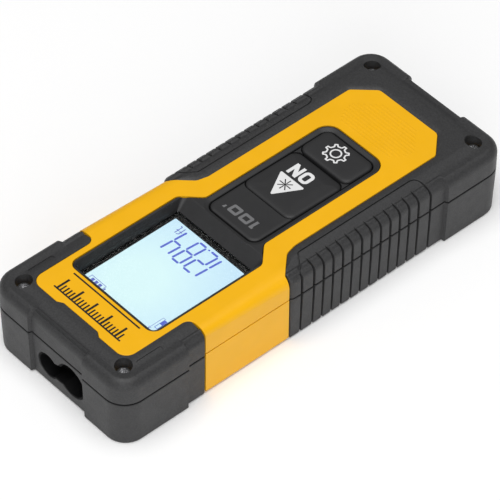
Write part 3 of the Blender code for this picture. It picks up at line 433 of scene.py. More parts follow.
class Look:
    """A Principled material and short ways to add nodes to it."""

    def __init__(self, name, colour, roughness, metallic=0.0, **sockets):
        self.material = bpy.data.materials.new(name)
        self.material.use_nodes = True
        self.tree = self.material.node_tree
        self.shader = self.tree.nodes["Principled BSDF"]
        self.set(Base_Color=(*colour, 1.0), Roughness=roughness, Metallic=metallic, **sockets)
        self.place = self.tree.nodes.new("ShaderNodeTexCoord").outputs["Object"]

    def feed(self, socket, value):
        """Gives a socket a value, or the output of another node."""
        if isinstance(value, bpy.types.NodeSocket):
            self.tree.links.new(value, socket)
        else:
            socket.default_value = value

    def set(self, **sockets):
        for socket, value in sockets.items():
            self.feed(self.shader.inputs[socket.replace("_", " ")], value)

    def node(self, kind, settings=None, **inputs):
        made = self.tree.nodes.new(kind)
        for setting, value in (settings or {}).items():
            setattr(made, setting, value)
        for socket, value in inputs.items():
            self.feed(made.inputs[socket.replace("_", " ")], value)
        return made

    def mapped(self, scale, offset=(0, 0, 0)):
        spread = self.node("ShaderNodeMapping", Vector=self.place, Scale=scale, Location=offset)
        return spread.outputs["Vector"]

    def noise(self, size_mm, detail=2.0, stretch=(1, 1, 1)):
        """Noise with grains of about that size."""
        fineness = 1 / (size_mm * MM)
        made = self.node("ShaderNodeTexNoise", Vector=self.mapped(stretch), Scale=fineness, Detail=detail)
        return made.outputs["Fac"]

    def scaled(self, value, low=0.0, high=1.0):
        """Noise spread from low to high."""
        ends = {"From_Min": 0.3, "From_Max": 0.7, "To_Min": low, "To_Max": high}
        return self.node("ShaderNodeMapRange", Value=value, **ends).outputs["Result"]

    def mixed(self, share, first, second):
        made = self.node("ShaderNodeMix", {"data_type": "RGBA"})
        for index, value in ((0, share), (6, (*first, 1.0)), (7, (*second, 1.0))):
            self.feed(made.inputs[index], value)
        return made.outputs[2]

    def bump(self, height, depth_mm, edge_mm=0.0):
        """Relief of that depth, and edges that look rounded by edge_mm."""
        made = self.node("ShaderNodeBump", Height=height, Distance=depth_mm * MM, Strength=1.0)
        if edge_mm:
            edge = self.node("ShaderNodeBevel", {"samples": 4}, Radius=edge_mm * MM)
            self.tree.links.new(edge.outputs["Normal"], made.inputs["Normal"])
        self.tree.links.new(made.outputs["Normal"], self.shader.inputs["Normal"])


GLOSS_SPREAD = 0.04


def moulded(name, colour, roughness, grain_mm, depth_mm, shade=0.06, edge_mm=0.12, blotch_mm=7.0, **sockets):
    """Moulded plastic or rubber: fine grain, slight blotches in the colour and in the gloss, soft edges."""
    look = Look(name, colour, roughness, **sockets)
    blotches = look.scaled(look.noise(blotch_mm))
    dark = tuple(channel * (1 - shade) for channel in colour)
    light = tuple(min(channel * (1 + shade), 1.0) for channel in colour)
    look.set(Base_Color=look.mixed(blotches, dark, light))
    look.set(Roughness=look.scaled(look.noise(2.5), roughness - GLOSS_SPREAD, roughness + GLOSS_SPREAD))
    look.bump(look.noise(grain_mm, detail=3.0), depth_mm, edge_mm=edge_mm)
    return look.material


def metal(name, colour, roughness, stretch=(1, 1, 12)):
    """Worn metal with fine directional scratches."""
    look = Look(name, colour, roughness, metallic=1.0)
    scratches = look.noise(0.08, stretch=stretch)
    dull = tuple(channel * 0.75 for channel in colour)
    look.set(Roughness=look.scaled(scratches, roughness * 0.7, roughness * 1.3))
    look.set(Base_Color=look.mixed(look.scaled(look.noise(1.2)), dull, colour))
    look.bump(scratches, 0.004, edge_mm=0.06)
    return look.material


YELLOW_FINISH = {"shade": 0.02, "edge_mm": 0.14, "Specular_IOR_Level": 0.38}
YELLOW = moulded("yellow_plastic", (0.9, 0.46, 0.002), 0.42, 0.09, 0.004, **YELLOW_FINISH)
RUBBER_FINISH = {"shade": 0.22, "edge_mm": 0.1, "blotch_mm": 0.4, "Specular_IOR_Level": 0.38}
RUBBER = moulded("grip_rubber", (0.034, 0.034, 0.035), 0.5, 0.3, 0.05, **RUBBER_FINISH)
DARK_PLASTIC = moulded("dark_plastic", (0.02, 0.02, 0.021), 0.5, 0.13, 0.012, shade=0.08, edge_mm=0.15)
KEY_RUBBER = moulded("key_rubber", (0.018, 0.018, 0.019), 0.55, 0.1, 0.006, shade=0.05, edge_mm=0.15)
PRINT_WHITE = moulded("print_white", (0.8, 0.8, 0.8), 0.5, 0.08, 0.004, shade=0.03, edge_mm=0.02)
PRINT_GREY = moulded("print_grey", (0.16, 0.16, 0.165), 0.5, 0.08, 0.004, shade=0.04, edge_mm=0.02)
PRINT_BLACK = moulded("print_black", (0.012, 0.011, 0.01), 0.42, 0.08, 0.004, shade=0.1, edge_mm=0.02)
DULL_FINISH = {"shade": 0.2, "Specular_IOR_Level": 0.2}
# Black plastic of the optics holder, set darker than black plastic really is: the near-zero colour is
# painted shade for the inside of the aperture.
OPTICS_BLACK_PAINTED_SHADE = moulded("optics_black", (0.002, 0.002, 0.0025), 0.7, 0.15, 0.01, **DULL_FINISH)
BUZZER_BLACK = moulded("buzzer_black", (0.012, 0.012, 0.013), 0.4, 0.12, 0.006, shade=0.1)
CHIP_BLACK = moulded("chip_epoxy", (0.015, 0.015, 0.016), 0.55, 0.06, 0.006, shade=0.15)
BACKLIGHT_WHITE = moulded("backlight_diffuser", (0.82, 0.84, 0.84), 0.35, 0.1, 0.002, shade=0.02)
CELL_SLEEVE = moulded("cell_sleeve", (0.03, 0.034, 0.042), 0.26, 0.5, 0.006, shade=0.25, edge_mm=0.1)
SCREW_STEEL = metal("screw_steel", (0.5, 0.5, 0.51), 0.34)
BRIGHT_STEEL = metal("bright_steel", (0.6, 0.6, 0.61), 0.28)
NICKEL = metal("contact_nickel", (0.66, 0.64, 0.6), 0.3, stretch=(12, 1, 1))
BRASS = metal("diode_brass", (0.8, 0.58, 0.26), 0.26)


def board_look(name):
    """Green solder mask over a net of slightly raised copper tracks."""
    look = Look(name, (0.02, 0.16, 0.06), 0.32)
    layout = {"offset": 0.37, "squash": 1.6, "squash_frequency": 3}
    lines = {"Scale": 330.0, "Mortar_Size": 0.05, "Mortar_Smooth": 0.3}
    tracks = look.node("ShaderNodeTexBrick", layout, Vector=look.place, **lines).outputs["Fac"]
    look.set(Base_Color=look.mixed(tracks, (0.012, 0.11, 0.04), (0.04, 0.25, 0.1)))
    look.bump(tracks, 0.03)
    return look.material


def striped_look():
    """A connector of fine conductive and insulating layers side by side."""
    look = Look("layered_rubber", (0.7, 0.4, 0.42), 0.6)
    wave = look.node("ShaderNodeTexWave", {"bands_direction": "X"}, Vector=look.place, Scale=520.0)
    layers = wave.outputs["Fac"]
    look.set(Base_Color=look.mixed(layers, (0.72, 0.36, 0.38), (0.05, 0.05, 0.055)))
    look.bump(layers, 0.01)
    return look.material


def glass_look(name, colour, index, roughness, **sockets):
    """Clear glass or acrylic with a faint smear in its polish."""
    look = Look(name, colour, roughness, Transmission_Weight=1.0, IOR=index, **sockets)
    look.set(Roughness=look.scaled(look.noise(4.0), roughness * 0.6, roughness * 1.6))
    return look.material


def label_look():
    """Matt label film, slightly mottled."""
    look = Look("label_film", (0.78, 0.78, 0.76), 0.45)
    fibres = look.noise(0.35, detail=4.0, stretch=(1, 3, 1))
    look.set(Base_Color=look.mixed(look.scaled(fibres), (0.72, 0.72, 0.7), (0.8, 0.8, 0.785)))
    look.bump(fibres, 0.004)
    return look.material


BOARD_GREEN = board_look("solder_mask")
LAYERED_RUBBER = striped_look()
WINDOW_CLEAR = glass_look("window_acrylic", (0.97, 0.985, 0.99), 1.2, 0.01)
LENS_GLASS = glass_look("coated_lens", (0.8, 0.84, 0.92), 1.5, 0.015, Coat_Weight=0.6, Coat_Roughness=0.03)
LABEL_FILM = label_look()


# ---- rubber bumpers and grips


def shoulder_profile(crest):
    """(inwards, height) from the top of the side wall, over the rounded shoulder, to the crest."""
    profile = [(0.0, SHOULDER_START)]
    for step in range(1, ARC_STEPS + 1):
        angle = math.pi / 2 * step / ARC_STEPS
        inwards = SHOULDER_RADIUS * (1 - math.cos(angle))
        profile.append((inwards, SHOULDER_START + SHOULDER_RADIUS * math.sin(angle)))
    edge = profile[-1]
    rise = crest - edge[1]
    run = CREST_INSET - edge[0]
    profile.append((edge[0] + run * CREASE_SHARE, edge[1] + rise * CREASE_SHARE * 1.15))
    profile.append((edge[0] + run * 0.5, edge[1] + rise * 0.56))
    profile.append((CREST_INSET - 0.5, crest - rise * 0.07))
    profile.append((CREST_INSET, crest))
    return profile


def on_wall(x, y, inwards):
    """Whether a corner of the rubber's outline is on the wall between the corner pads."""
    side = HALF_WIDTH - PAD_PROUD - inwards
    end = HALF_LENGTH - PAD_PROUD - inwards
    beside = REAR_PAD_END + STEP_RUN - TINY < y < FRONT_PAD_END - STEP_RUN + TINY
    at_side = abs(abs(x) - side) < TINY and beside
    at_end = abs(abs(y) - end) < TINY and abs(x) < END_RECESS_HALF + TINY
    return at_side or at_end


def padded(proud, inwards, height, rise):
    """A ring of the rubber whose corner pads also stand higher than the rest of it."""
    corners = rubber_corners(proud, inwards)
    wall = [(x, y) for x, y, _ in corners if on_wall(x, y, inwards)]
    ring = []
    for point in rounded(corners):
        low = any(abs(point.x - x) + abs(point.y - y) < TINY for x, y in wall)
        ring.append((point.x, point.y, height if low else height + rise))
    return ring


def rubber_rings(steps):
    return [level(rounded(rubber_corners(PAD_PROUD, inwards)), height) for inwards, height in steps]


def rubber_top(name, crest):
    bottom = FRONT_TOP_LOW.z
    soft = LIP_ROUND * 0.3
    rings = rubber_rings(((LIP_ROUND, bottom), (soft, bottom + soft), (0.0, bottom + LIP_ROUND)))
    crease = (CREST_INSET - SHOULDER_RADIUS) * CREASE_SHARE
    for inwards, height in shoulder_profile(crest):
        share = min(max((inwards - SHOULDER_RADIUS) / crease, 0.0), 1.0)
        rise = PAD_RISE * (1 - share) * min(inwards / SHOULDER_RADIUS, 1.0) ** 0.5
        rings.append(padded(PAD_PROUD * (1 - share), inwards, height, rise))
    return loft(name, rings)


def rubber_bottom(name):
    top = FRONT_BOTTOM_HIGH.z
    soft = LIP_ROUND * 0.3
    steps = []
    for step in range(ARC_STEPS + 1):
        angle = math.pi / 2 * step / ARC_STEPS
        steps.append((DRAFT + FOOT_ROUND * (1 - math.sin(angle)), FOOT_ROUND * (1 - math.cos(angle))))
    return loft(name, rubber_rings(steps + [(0.0, top - LIP_ROUND), (soft, top - soft), (LIP_ROUND, top)]))


def blade_ring(surface, normal, across, half, depth, chamfer=GROOVE_CHAMFER):
    """One section of a groove's cutter: straight sides, and a mouth that flares to a chamfer."""
    above = 0.6
    chamfer = min(chamfer, depth * 0.8)
    floor = surface - normal * depth
    mouth = surface - normal * chamfer
    outside = surface + normal * above
    wide = half + above + chamfer
    return [
        outside - across * wide,
        mouth - across * half,
        floor - across * half * 0.7,
        floor + across * half * 0.7,
        mouth + across * half,
        outside + across * wide,
    ]


def groove_blade(side, y, tip, tip_half, last_angle=1.36):
    """A groove that runs up the side wall, over the shoulder and out at its tip, if it has one."""
    half = GROOVE_HALF
    wall = HALF_WIDTH - PAD_PROUD
    across = Vector((0, 1, 0))
    rings = [
        blade_ring(Vector((side * wall, y, z)), Vector((side, 0, 0)), across, half, GROOVE_DEPTH)
        for z in (-1.0, SHOULDER_START)
    ]
    centre = Vector((side * (wall - SHOULDER_RADIUS), y, SHOULDER_START))
    for step in range(1, ARC_STEPS + 1):
        angle = last_angle * step / ARC_STEPS
        normal = Vector((side * math.cos(angle), 0, math.sin(angle)))
        depth = GROOVE_DEPTH * (0.95 - 0.15 * step / ARC_STEPS)
        width = half * (1 - SHOULDER_TAPER * step / ARC_STEPS)
        spot = centre + normal * SHOULDER_RADIUS
        rings.append(blade_ring(spot, normal, across, width, depth, SHOULDER_CHAMFER))
    if not tip:
        return rings
    rise = REAR_TOP_HIGH.z - SHOULDER_START - SHOULDER_RADIUS
    slope = Vector((-side * (CREST_INSET - SHOULDER_RADIUS), 0, rise)).normalized()
    normal = Vector((slope.z * side, 0, abs(slope.x)))
    edge = centre + Vector((0, 0, SHOULDER_RADIUS))
    for share in (0.35, 0.7, 1.0):
        width = half * (1 - SHOULDER_TAPER) * (1 - share) + tip_half * share
        depth = GROOVE_DEPTH * (0.78 - 0.6 * share)
        spot = edge + slope * tip * share + Vector((0, 0, 0.05))
        rings.append(blade_ring(spot, normal, across, width, depth, SHOULDER_CHAMFER))
    return rings


def grip_cutters():
    """Cutters for the grips' grooves, and for the thin line round each ribbed panel."""
    blades = []
    for side in SIDES:
        for k in range(RIB_COUNT):
            blades.append(groove_blade(side, FIRST_RIB_Y - RIB_PITCH * k, GROOVE_TIP, 0.07))
    blades += [groove_blade(side, GRIP_REAR_EDGE, END_GROOVE_TIP, 0.16) for side in SIDES]
    blades += [groove_blade(side, GRIP_FRONT_EDGE, 0, 0, last_angle=0.85) for side in SIDES]
    return loft("grooves", *blades), loft("panel_lines", *[panel_line(side) for side in SIDES])


def panel_line(side):
    """The thin line that joins a grip's two end grooves along its crest."""
    wall = HALF_WIDTH - PAD_PROUD
    corners = [(wall - 0.65, GRIP_FRONT_EDGE, 0), (PANEL_LINE_X, PANEL_LINE_FRONT, 0.9)]
    corners += [(PANEL_LINE_X, GRIP_REAR_EDGE, 2.3), (wall - SHOULDER_RADIUS - 0.4, GRIP_REAR_EDGE, 0)]
    bends = rounded(corners)
    path = []
    for start, end in zip(bends, bends[1:]):
        steps = max(1, math.ceil((end - start).length / 0.35)) if start.x != end.x else 1
        path += [start.lerp(end, step / steps) for step in range(steps)]
    path.append(bends[-1])
    rings = []
    for index, point in enumerate(path):
        ahead = path[min(index + 1, len(path) - 1)] - path[max(index - 1, 0)]
        ahead.normalize()
        across = Vector((side * ahead.y, -ahead.x, 0))
        slope = (surface_height(point.x + 0.05) - surface_height(point.x - 0.05)) / 0.1
        normal = Vector((-side * slope, 0, 1)).normalized()
        spot = Vector((side * point.x, point.y, surface_height(point.x)))
        section = (PANEL_LINE_HALF, PANEL_LINE_DEPTH, PANEL_LINE_CHAMFER)
        rings.append(blade_ring(spot, normal, across, *section))
    return rings


def surface_height(x):
    """The height of the rear rubber's top at a distance from the middle, on its long sides."""
    wall = HALF_WIDTH - PAD_PROUD
    profile = shoulder_profile(REAR_TOP_HIGH.z)
    for (inner_a, low), (inner_b, high) in zip(profile, profile[1:]):
        if wall - inner_b <= x <= wall - inner_a:
            share = (wall - inner_a - x) / (inner_b - inner_a)
            return low + (high - low) * share
    return profile[-1][1]


def window_corners():
    """The bare side of the housing in plan, with flares that round the ends of the rubber."""
    front = SIDE_FRONT + GAP
    rear = SIDE_REAR - GAP
    face = SIDE_FACE - 0.25
    far = HALF_WIDTH + 4
    corners = [(face, front, 0.7), (HALF_WIDTH + 0.1, front + 0.85, 0.3), (far, front + 1.2, 0)]
    corners.append((far, rear - GRIP_END_ROUND - 0.4, 0))
    for step in range(6, -1, -1):
        angle = math.pi * step / 12
        x = face + (HALF_WIDTH - PAD_PROUD - face) * math.sin(angle)
        corners.append((x, rear - GRIP_END_ROUND * (1 - math.cos(angle)), 0))
    return both_sides(corners)


def well(x, y):
    """A screw's well, with a slightly flared mouth."""
    steps = ((0.0, SLEEVE_BOTTOM - 0.1), (0.0, 18.35), (0.03, 18.85), (0.06, 20.5))
    return loft(f"well_{x}_{y}", [level(disc(x, y, SCREW_WELL_RADIUS + flare), z) for flare, z in steps])


WELLS = {(x, y): well(x, y) for x in (-SCREW_X, SCREW_X) for y in (-SCREW_Y, SCREW_Y)}


def sleeve(x, y, spread):
    """The rubber that lines a screw's well, or with a spread the counterbore in the housing for it."""
    outline = disc(x, y, SLEEVE_RADIUS + spread)
    return prism(f"sleeve_{x}_{y}_{spread}", outline, SLEEVE_BOTTOM - spread, SLEEVE_TOP + spread * 20)


def slot_recess(side):
    """A long shallow recess beside a front screw, sunk square to the slope of the rubber."""
    middle, half = 17.97, 0.6
    outline = rounded(corners_between(middle - half, middle + half, 41.5, 48.5, 0.5))
    made = prism(f"slot_{side}", [Vector((side * point.x, point.y)) for point in outline], 18.77, 20.5)
    lean = -0.23 * side
    drop = -lean * side * middle * MM
    made.data.transform(Matrix(((1, 0, 0, 0), (0, 1, 0, 0), (lean, 0, 1, drop), (0, 0, 0, 1))))
    return made


def grip_end(side):
    """The space over a grip's front end, which rolls down onto the bare side of the housing."""
    reach = 3.4
    rear = SIDE_REAR - GAP - reach + 0.2
    low = ((20.95, 15.0), (20.95, 19.4), (16.9, SHELL_TOP + 0.05))
    high = ((21.7, 13.0), (22.7, 20.6), (16.4, REAR_TOP_HIGH.z + 0.2))
    rings = []
    for step in range(9):
        share = step / 8
        drop = 1 - math.sqrt(1 - share**2)
        start, control, end = (Vector(b).lerp(Vector(a), drop) for a, b in zip(low, high))
        ring = curve_between(start, control, end, 14)
        ring += [Vector((16.4, 22)), Vector((26, 22)), Vector((26, start.y))]
        rings.append([(side * point.x, rear + reach * share, point.y) for point in ring])
    rings.append([(x, rear + reach + 1, z) for x, _, z in rings[-1]])
    return loft(f"grip_end_{side}", rings)


def aperture_rings(x, z, radius):
    """Rings of the optics opening: a straight bore that flares at the front face."""
    face = HALF_LENGTH - PAD_PROUD
    places = ((radius, 50.0), (radius, face - 0.5), (radius + 0.15, face - 0.15), (radius + 0.6, face + 0.6))
    return [[(point.x, y, point.y) for point in disc(x, z, wide)] for wide, y in places]


NECK = [
    Vector((RECEIVER_X + 2.0, RECEIVER_Z + 2.6)),
    Vector((RECEIVER_X + 2.0, RECEIVER_Z - 3.2)),
    Vector((LASER_X - 1.5, LASER_Z - 2.4)),
    Vector((LASER_X - 1.5, LASER_Z + 2.3)),
]


def aperture_cutter():
    """The opening in the front face: a large disc and a small one, joined by a neck."""
    made = loft("aperture", aperture_rings(RECEIVER_X, RECEIVER_Z, RECEIVER_APERTURE))
    small = loft("aperture_small", aperture_rings(LASER_X, LASER_Z, LASER_APERTURE))
    join(made, small, front_prism("aperture_neck", NECK, 50.2, HALF_LENGTH + 0.4))
    return made


def make_rubber():
    face = rounded(moved(FACE_CORNERS, -0.06))
    core = rounded(moved(core_corners(), -GAP))
    reach = HALF_WIDTH + 5
    middle = (SIDE_FRONT + SIDE_REAR) / 2
    crest = REAR_TOP_HIGH.z
    tall = prism("face_clearance", face, -1, 25)
    upper_core = prism("upper_core", core, 5, CORE_TOP + GAP)
    lower_core = prism("lower_core", core, CORE_BOTTOM - GAP, 20)
    ahead = box("ahead", (-reach, middle, -5), (reach, 80, 30))
    behind = box("behind", (-reach, -80, -5), (reach, middle, 30))
    windows = prism("windows", rounded(window_corners()), -2, 30)
    band = stepped("flange_slope", FACE_CORNERS, ((-0.05, 19.08), (-1.35, crest), (-1.6, crest + 0.12)))
    between_x = box("between_x", (-9.1, -70, -2), (9.1, 70, FOOT_HEIGHT))
    between_y = box("between_y", (-30, REAR_PAD_END, -2), (30, FRONT_PAD_END, FOOT_HEIGHT))
    grooves, lines = grip_cutters()

    front_top = rubber_top("front_bumper_upper", FRONT_TOP_HIGH.z)
    cut(front_top, behind, windows, tall, upper_core, slot_recess(-1), slot_recess(1))
    rear_top = rubber_top("rear_grip_upper", crest)
    cut(rear_top, ahead, windows, tall, upper_core, band, grip_end(-1), grip_end(1), grooves, lines)
    for (x, y), way in WELLS.items():
        lined = front_top if y > 0 else rear_top
        join(lined, sleeve(x, y, 0.0))
        cut(lined, way)
    front_bottom = rubber_bottom("front_bumper_lower")
    cut(front_bottom, behind, windows, tall, lower_core, between_x, between_y, aperture_cutter())
    rear_bottom = rubber_bottom("rear_grip_lower")
    cut(rear_bottom, ahead, windows, tall, lower_core, between_x, between_y, grooves)
    piece(front_top, RUBBER, "grip_rubber", "front_bumper_top")
    piece(rear_top, RUBBER, "grip_rubber", "rear_grip_top")
    piece(front_bottom, RUBBER, "grip_rubber", "front_bumper_bottom")
    piece(rear_bottom, RUBBER, "grip_rubber", "rear_grip_bottom")


# ---- housing


def curve_between(start, control, end, steps):
    """Points on the quadratic curve from start to end."""
    return [
        start * (1 - t) ** 2 + control * 2 * t * (1 - t) + end * t**2
        for t in (step / steps for step in range(steps + 1))
    ]


def side_rounding(side):
    """The space outside the rounded upper edge of the bare side, which drops towards the grip."""
    x = SIDE_FACE + 0.05
    rings = []
    for y, start_z, end_x in ((SIDE_REAR - 3.5, 14.8, 16.8), (SIDE_FRONT + 2.5, 17.5, 17.7)):
        end = Vector((end_x, SHELL_TOP + 0.01))
        ring = curve_between(Vector((x, start_z)), Vector((x, 19.4)), end, 14)
        ring += [Vector((16.6, SHELL_TOP + 1)), Vector((24, SHELL_TOP + 1)), Vector((24, start_z))]
        rings.append([(side * point.x, y, point.y) for point in ring])
    return loft(f"side_rounding_{side}", rings)


def make_housing():
    bottom = SHELL_LOW.z
    soft = TOP_EDGE * 0.3
    edge = ((0.0, bottom), (0.0, SHELL_TOP - TOP_EDGE), (soft, SHELL_TOP - soft), (TOP_EDGE, SHELL_TOP))
    housing = stepped("housing_upper", FACE_CORNERS, edge)
    join(housing, prism("core", rounded(core_corners()), bottom + 0.01, CORE_TOP))
    cavity = prism("cavity", rounded(moved(core_corners(), WALL)), bottom - 2, CEILING)
    opening = prism("bezel_opening", rounded(moved(BEZEL_CORNERS, -0.12)), CEILING - 1, ABOVE)
    counterbores = [sleeve(x, y, 0.1) for x, y in WELLS]
    cut(housing, side_rounding(-1), side_rounding(1), cavity, opening, *WELLS.values(), *counterbores)
    piece(housing, YELLOW, "housing_yellow", "top_housing")


# ---- display surround, keypad and keys


def make_bezel():
    low, top = BEZEL_LOW.z, BEZEL_TOP
    edge = ((0.0, low), (0.0, top - 0.35), (0.1, top - 0.12), (0.32, top))
    bezel = stepped("display_surround", BEZEL_CORNERS, edge)
    foot = rectangle(DISPLAY_HALF, DISPLAY_FRONT, DISPLAY_REAR, 0.5)
    rim = rectangle(BEZEL_HALF - 0.62, BEZEL_FRONT - 0.62, DISPLAY_RAMP_REAR, 1.2)
    ramp_foot = DISPLAY_LEVEL + 0.03
    slope = top - 0.2 - ramp_foot
    sections = [(foot, low - 1)]
    for share in (0.0, 0.5 / 0.95, 0.82 / 0.95, 1.0):
        between = [tuple(a + (b - a) * share for a, b in zip(one, two)) for one, two in zip(foot, rim)]
        sections.append((between, ramp_foot + slope * share))
    lip = ((-0.2, top - 0.05), (-0.5, top + 0.05), (-0.6, top + 0.6))
    sections += [(moved(rim, inwards), height) for inwards, height in lip]
    recess = loft("display_recess", [level(rounded(corners), z) for corners, z in sections])
    key_corners = rectangle(KEY_WELL_HALF, KEY_WELL_FRONT, KEY_WELL_REAR, KEY_WELL_CORNER)
    flare = ((0.0, low - 1), (0.0, top - 0.5), (-0.12, top - 0.34), (-1.05, top - 0.02), (-1.2, 20.5))
    join(bezel, prism("bezel_flange", rounded(moved(BEZEL_CORNERS, -1.2)), low + 0.01, low + 0.6))
    cut(bezel, recess, stepped("key_well", key_corners, flare))
    piece(bezel, DARK_PLASTIC, "dark_plastic", "display_bezel")


def smooth_step(share):
    share = min(max(share, 0.0), 1.0)
    return share * share * (3 - 2 * share)


def make_key(name, low, high, dip):
    """A pillowed key with a stem down to its switch. All but its underside drops by the dip at its rear."""
    top = high.z
    bottom = 16.6
    profile = [(0.0, bottom), (0.0, top - 0.6), (0.05, top - 0.42), (0.16, top - 0.26), (0.35, top - 0.14)]
    profile += [(0.65, top - 0.06), (1.1, top - 0.02), (1.7, top), (2.6, top), (3.4, top)]
    rings = []
    for inwards, z in profile:
        corner = max(KEY_CORNER - inwards, 0.3)
        outline = rounded(rectangle(high.x - inwards, high.y - inwards, low.y + inwards, corner))
        drop = 0.0 if z == bottom else dip
        rings.append([(x, y, z - drop * smooth_step((low.y - y) / KEY_DIP_RUN + 1)) for x, y in outline])
    key = loft(f"{name}_button", rings)
    join(key, prism(f"{name}_stem", disc(0, (low.y + high.y) / 2, 2.0, 24), low.z, 17.0))
    piece(key, KEY_RUBBER, "key_grey", f"{name}_key", body=f"{name}_key")


def make_keypad():
    bottom, top = PAD_LOW.z, PAD_HIGH.z
    outer = rectangle(KEY_WELL_HALF - GAP, KEY_WELL_FRONT - GAP, KEY_WELL_REAR + GAP, KEY_WELL_CORNER - GAP)
    edge = ((0.0, bottom), (0.0, top - 0.45), (0.12, top - 0.2), (0.4, top - 0.04), (0.9, top))
    keypad = stepped("range_pad_frame", outer, edge)
    plate_top, divider_top = 15.8, 18.75
    pad_rear = -9.0
    plate = rounded(rectangle(8.9, 7.7, -30.7, 2.1))
    join(keypad, prism("frame_plate", plate, bottom + 0.01, plate_top))
    cut(keypad, box("behind_pad", (-9, -40, divider_top), (9, pad_rear, ABOVE)))
    on_low = Vector((ON_LOW.x, SETTINGS_HIGH.y + KEY_PARTING, ON_LOW.z))
    keys = (("on", on_low, ON_HIGH, 0.5), ("settings", SETTINGS_LOW, SETTINGS_HIGH, 0.0))
    for name, low, high, _ in keys:
        way = rounded(moved(rectangle(high.x, high.y, low.y, KEY_CORNER), -0.22))
        stem_way = disc(0, (low.y + high.y) / 2, 2.4, 24)
        key_way = prism(f"{name}_way", way, plate_top, ABOVE)
        cut(keypad, key_way, prism(f"{name}_stem_way", stem_way, 10, 20))
    piece(keypad, KEY_RUBBER, "key_grey", "keypad_frame")
    for key in keys:
        make_key(*key)


# ---- printed marks

PRINT_RISE = 0.03
PRINT_SINK = 0.15


def marks(name, shapes, surface, look, slot, body="housing", rise=PRINT_RISE):
    """Thin separate prints on a level surface, as one piece. Each shape's inner outlines are holes."""
    shape = bmesh.new()
    for index, outlines in enumerate(shapes):
        made = flat_shape(f"{name}_{index}", outlines, surface - PRINT_SINK, surface + rise)
        shape.from_mesh(made.data)
        bpy.data.objects.remove(made, do_unlink=True)
    piece(object_from(name, shape), look, slot, body=body)


def bar(start, end, width):
    """A straight stroke with square ends."""
    start, end = Vector(start), Vector(end)
    along = (end - start).normalized()
    across = Vector((-along.y, along.x)) * width / 2
    return [start - across, end - across, end + across, start + across]


def slanted(outline, base, lean):
    return [Vector((point[0] + (point[1] - base) * lean, point[1])) for point in outline]


def ring_shape(half_width, half_height, x, y, radius, stroke):
    """A rounded ring, as an outer outline and a hole."""
    corners = corners_between(x - half_width, x + half_width, y - half_height, y + half_height, radius)
    return [rounded(corners), rounded(moved(corners, stroke))]


def range_marks():
    """The range figure: one, zero, zero and a foot mark, in square block numerals."""
    low, high = 1.53, 4.13
    one = ((-4.1, low), (-3.35, low), (-3.35, high), (-4.35, high), (-4.35, high - 0.6), (-4.1, high - 0.6))
    zeros = [ring_shape(1.45, (high - low) / 2, x, (low + high) / 2, 0.45, 0.72) for x in (-1.2, 2.35)]
    foot = ((4.55, high - 0.9), (5.0, high - 0.9), (5.3, high), (4.6, high))
    shapes = [[slanted(outline, low, 0.06) for outline in outlines] for outlines in ([one], *zeros, [foot])]
    marks("range_figure", shapes, PAD_HIGH.z, PRINT_GREY, "key_grey")


def on_marks():
    """The on key's legend: a beam triangle with a burst, and the word for on."""
    top = ON_HIGH.z
    x = 0.93
    corner = 0.3
    triangle = rounded([(x, -5.95, corner), (x + 3.9, -12.75, corner), (x - 3.9, -12.75, corner)])
    marks("beam_triangle", [[triangle]], top, PRINT_WHITE, "key_grey", "on_key")
    centre = Vector((x, -10.45))
    rays = [Vector((math.cos(math.pi * k / 4), math.sin(math.pi * k / 4))) for k in range(8)]
    burst = [[bar(centre + ray * 0.42, centre + ray * 1.75, 0.27)] for ray in rays]
    burst.append([disc(centre.x, centre.y, 0.36, 24)])
    marks("beam_burst", burst, top + PRINT_RISE, KEY_RUBBER, "key_grey", "on_key", rise=0.02)
    low, high = -17.15, -13.45
    left, right = x + 0.22, x + 3.1
    o_shape = ring_shape(1.42, (high - low) / 2, x - 1.62, (low + high) / 2, 1.15, 0.82)
    n_shape = [(left, low), (left + 0.8, low), (left + 0.8, low + 1.95), (right - 0.85, low)]
    n_shape += [(right, low), (right, high), (right - 0.8, high), (right - 0.8, high - 1.95)]
    n_shape += [(left + 0.85, high), (left, high)]
    marks("on_word", [o_shape, [n_shape]], top, PRINT_WHITE, "key_grey", "on_key")


def settings_marks():
    """The settings key's legend: a gear drawn in line, with a ring inside it."""
    teeth = 8
    x, y = 0.75, -25.45
    tip, root = 3.1, 2.38
    stroke = 0.36
    corners = []
    for k in range(teeth):
        middle = math.tau * (k + 0.5) / teeth + math.pi / 8
        for radius, offset in ((root, -0.24), (tip, -0.145), (tip, 0.145), (root, 0.24)):
            angle = middle + offset
            corners.append((x + radius * math.cos(angle), y + radius * math.sin(angle), 0.16))
    gear = [rounded(corners, 3), rounded(moved(corners, stroke), 3)]
    ring = [disc(x, y, 1.42, 32), disc(x, y, 1.42 - stroke, 32)]
    marks("gear_symbol", [gear, ring], SETTINGS_HIGH.z, PRINT_WHITE, "key_grey", "settings_key")


def ruler_marks():
    """A generic ruler scale between two lines, printed ahead of the display."""
    low, high = 41.75, 47.3
    half = 10.9
    line = 0.38
    count, pitch = 22, 0.95
    shapes = [[bar((-half, y), (half, y), line)] for y in (low, high)]
    for k in range(count):
        x = (k - (count - 1) / 2) * pitch
        length, wide = (3.6, 0.55) if k % 5 == 1 else (2.0, 0.4)
        shapes.append([bar((x, high - line / 2 + 0.02), (x, high - length), wide)])
    marks("ruler_scale", shapes, SHELL_TOP, PRINT_BLACK, "dark_plastic", rise=0.05)


# ---- display

SEGMENTS = {"1": "bc", "2": "abged", "4": "fgbc", "8": "abcdefg"}
DIGIT_LOW = 13.0
DIGIT_HIGH = 21.2
STROKE = 0.54
LEAN = math.tan(math.radians(4))


